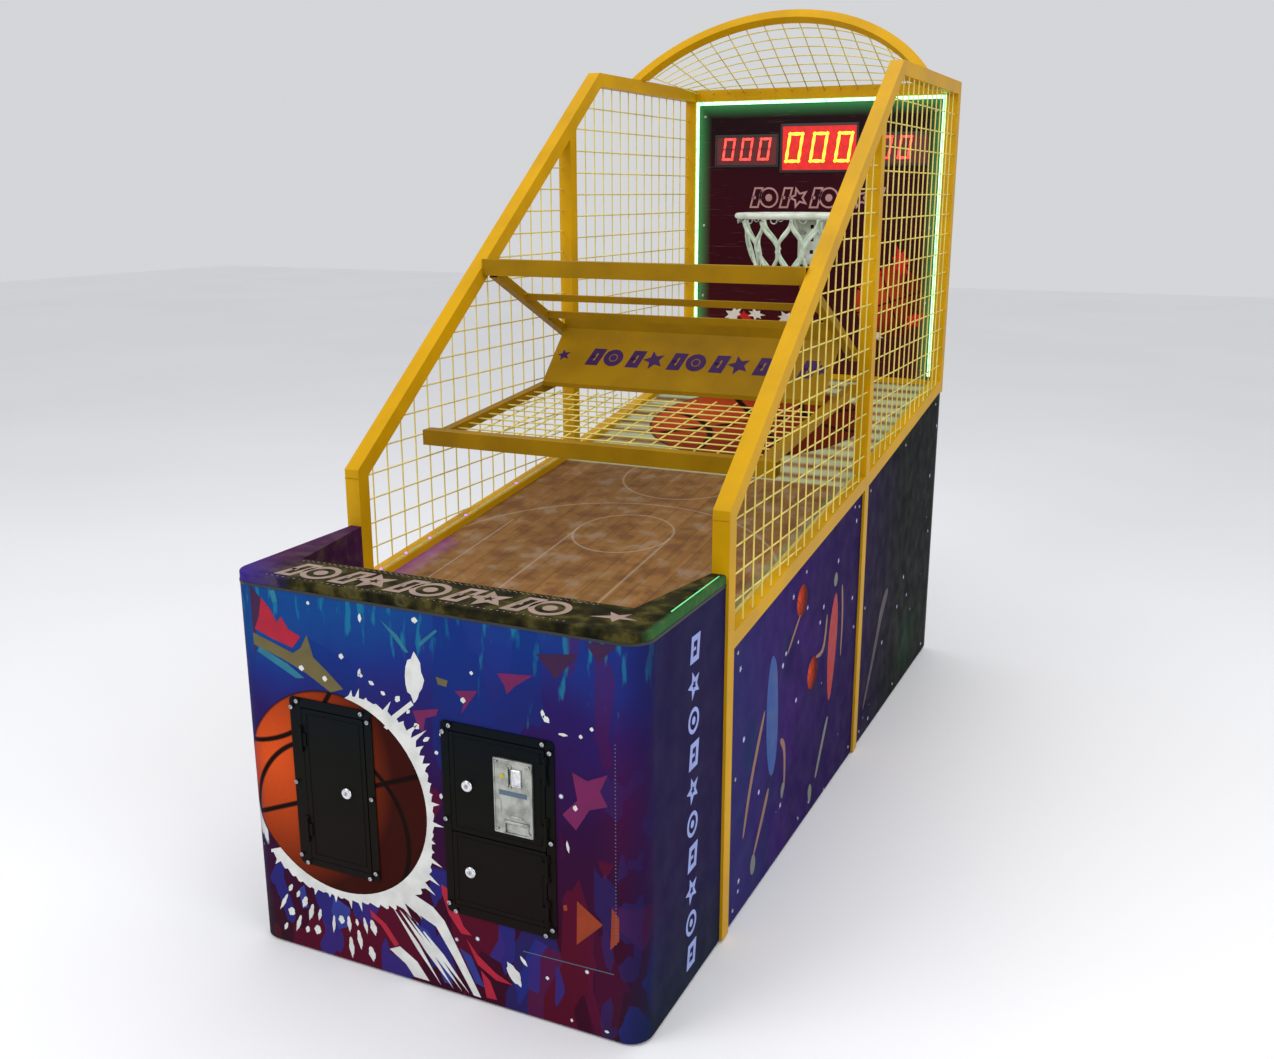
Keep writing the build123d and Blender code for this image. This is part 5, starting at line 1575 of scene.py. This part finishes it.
class HOOP_OT_stage(Maker, bpy.types.Operator):
    """Sets the floor, the soft lights and the camera"""

    bl_idname = "hoop.stage"
    bl_label = "Stage"

    def make(self):
        deselect()
        bpy.ops.mesh.primitive_plane_add(size=40, location=(0, 0, 0))
        floor = bpy.context.object
        floor.name = "studio_floor"
        material, tree, shader, spot = material_of("studio_floor_paint", Roughness=0.6)
        noise = add(tree, "TexNoise", {"Vector": spot, "Scale": 0.5})
        tone = add(tree, "ValToRGB", {0: noise}, stops=((0.3, "#F4F4F6"), (0.7, "#F8F8FA"),))
        tree.links.new(tone.outputs[0], shader.inputs["Base Color"])
        floor.data.materials.append(material)
        world = bpy.data.worlds.new("studio_air")
        bpy.context.scene.world = world
        world.use_nodes = True
        sky = world.node_tree.nodes["Background"]
        sky.inputs[0].default_value = linear("#F6F7FA")
        sky.inputs[1].default_value = 0.72
        for name, place, aim, size, power in (
            ("key_light", (-2.6, -4.6, 4.6), (0, -0.6, 0.9), 3.0, 120),
            ("fill_light", (4.2, -2.6, 3.0), (0, 0, 0.9), 3.0, 60),
            ("top_light", (0.4, 0.6, 5.0), (0, 0, 1.0), 3.4, 70),
        ):
            lamp = bpy.data.lights.new(name, "AREA")
            lamp.energy, lamp.size = power, size
            holder = bpy.data.objects.new(name, lamp)
            bpy.context.collection.objects.link(holder)
            holder.location = place
            holder.rotation_euler = (Vector(aim) - Vector(place)).to_track_quat("-Z", "Y").to_euler()
        eye = bpy.data.cameras.new("studio_camera")
        eye.lens, eye.sensor_width = 35.41, 36.0
        camera = bpy.data.objects.new("studio_camera", eye)
        bpy.context.collection.objects.link(camera)
        camera.location = at(1397.6, -1979.2, 1684.3)
        camera.rotation_euler = (math.radians(74.9), 0, math.radians(24.9))
        bpy.context.scene.camera = camera
        bpy.context.scene.view_settings.view_transform = "Standard"


OPERATORS = (
    HOOP_OT_stage,
    HOOP_OT_cage,
    HOOP_OT_wires,
    HOOP_OT_sign,
    HOOP_OT_backboard,
    HOOP_OT_displays,
    HOOP_OT_light_strips,
    HOOP_OT_hoop,
    HOOP_OT_net,
    HOOP_OT_cabinet,
    HOOP_OT_ledge,
    HOOP_OT_court,
    HOOP_OT_side_panels,
    HOOP_OT_doors,
    HOOP_OT_coin_mechanism,
    HOOP_OT_works,
)


class HOOP_PT_panel(bpy.types.Panel):
    """Lists the machine's pieces and choices"""

    bl_label = "Hoop machine"
    bl_idname = "HOOP_PT_panel"
    bl_space_type = "VIEW_3D"
    bl_region_type = "UI"
    bl_category = "Hoop machine"

    def draw(self, context):
        for operator in OPERATORS:
            self.layout.operator(operator.bl_idname)
        for choices in (context.scene.hoop_colours, context.scene.hoop_sizes):
            box = self.layout.box()
            for choice in choices.bl_rna.properties.keys():
                if choice not in ("rna_type", "name"):
                    box.prop(choices, choice)


CLASSES = (HOOP_PG_colours, HOOP_PG_sizes, *OPERATORS, HOOP_PT_panel)


def register():
    for each in CLASSES:
        bpy.utils.register_class(each)
    bpy.types.Scene.hoop_colours = bpy.props.PointerProperty(type=HOOP_PG_colours)
    bpy.types.Scene.hoop_sizes = bpy.props.PointerProperty(type=HOOP_PG_sizes)


def unregister():
    del bpy.types.Scene.hoop_colours
    del bpy.types.Scene.hoop_sizes
    for each in reversed(CLASSES):
        bpy.utils.unregister_class(each)


def main():
    register()
    for operator in OPERATORS:
        group, name = operator.bl_idname.split(".")
        getattr(getattr(bpy.ops, group), name)()


if __name__ == "__main__":
    main()
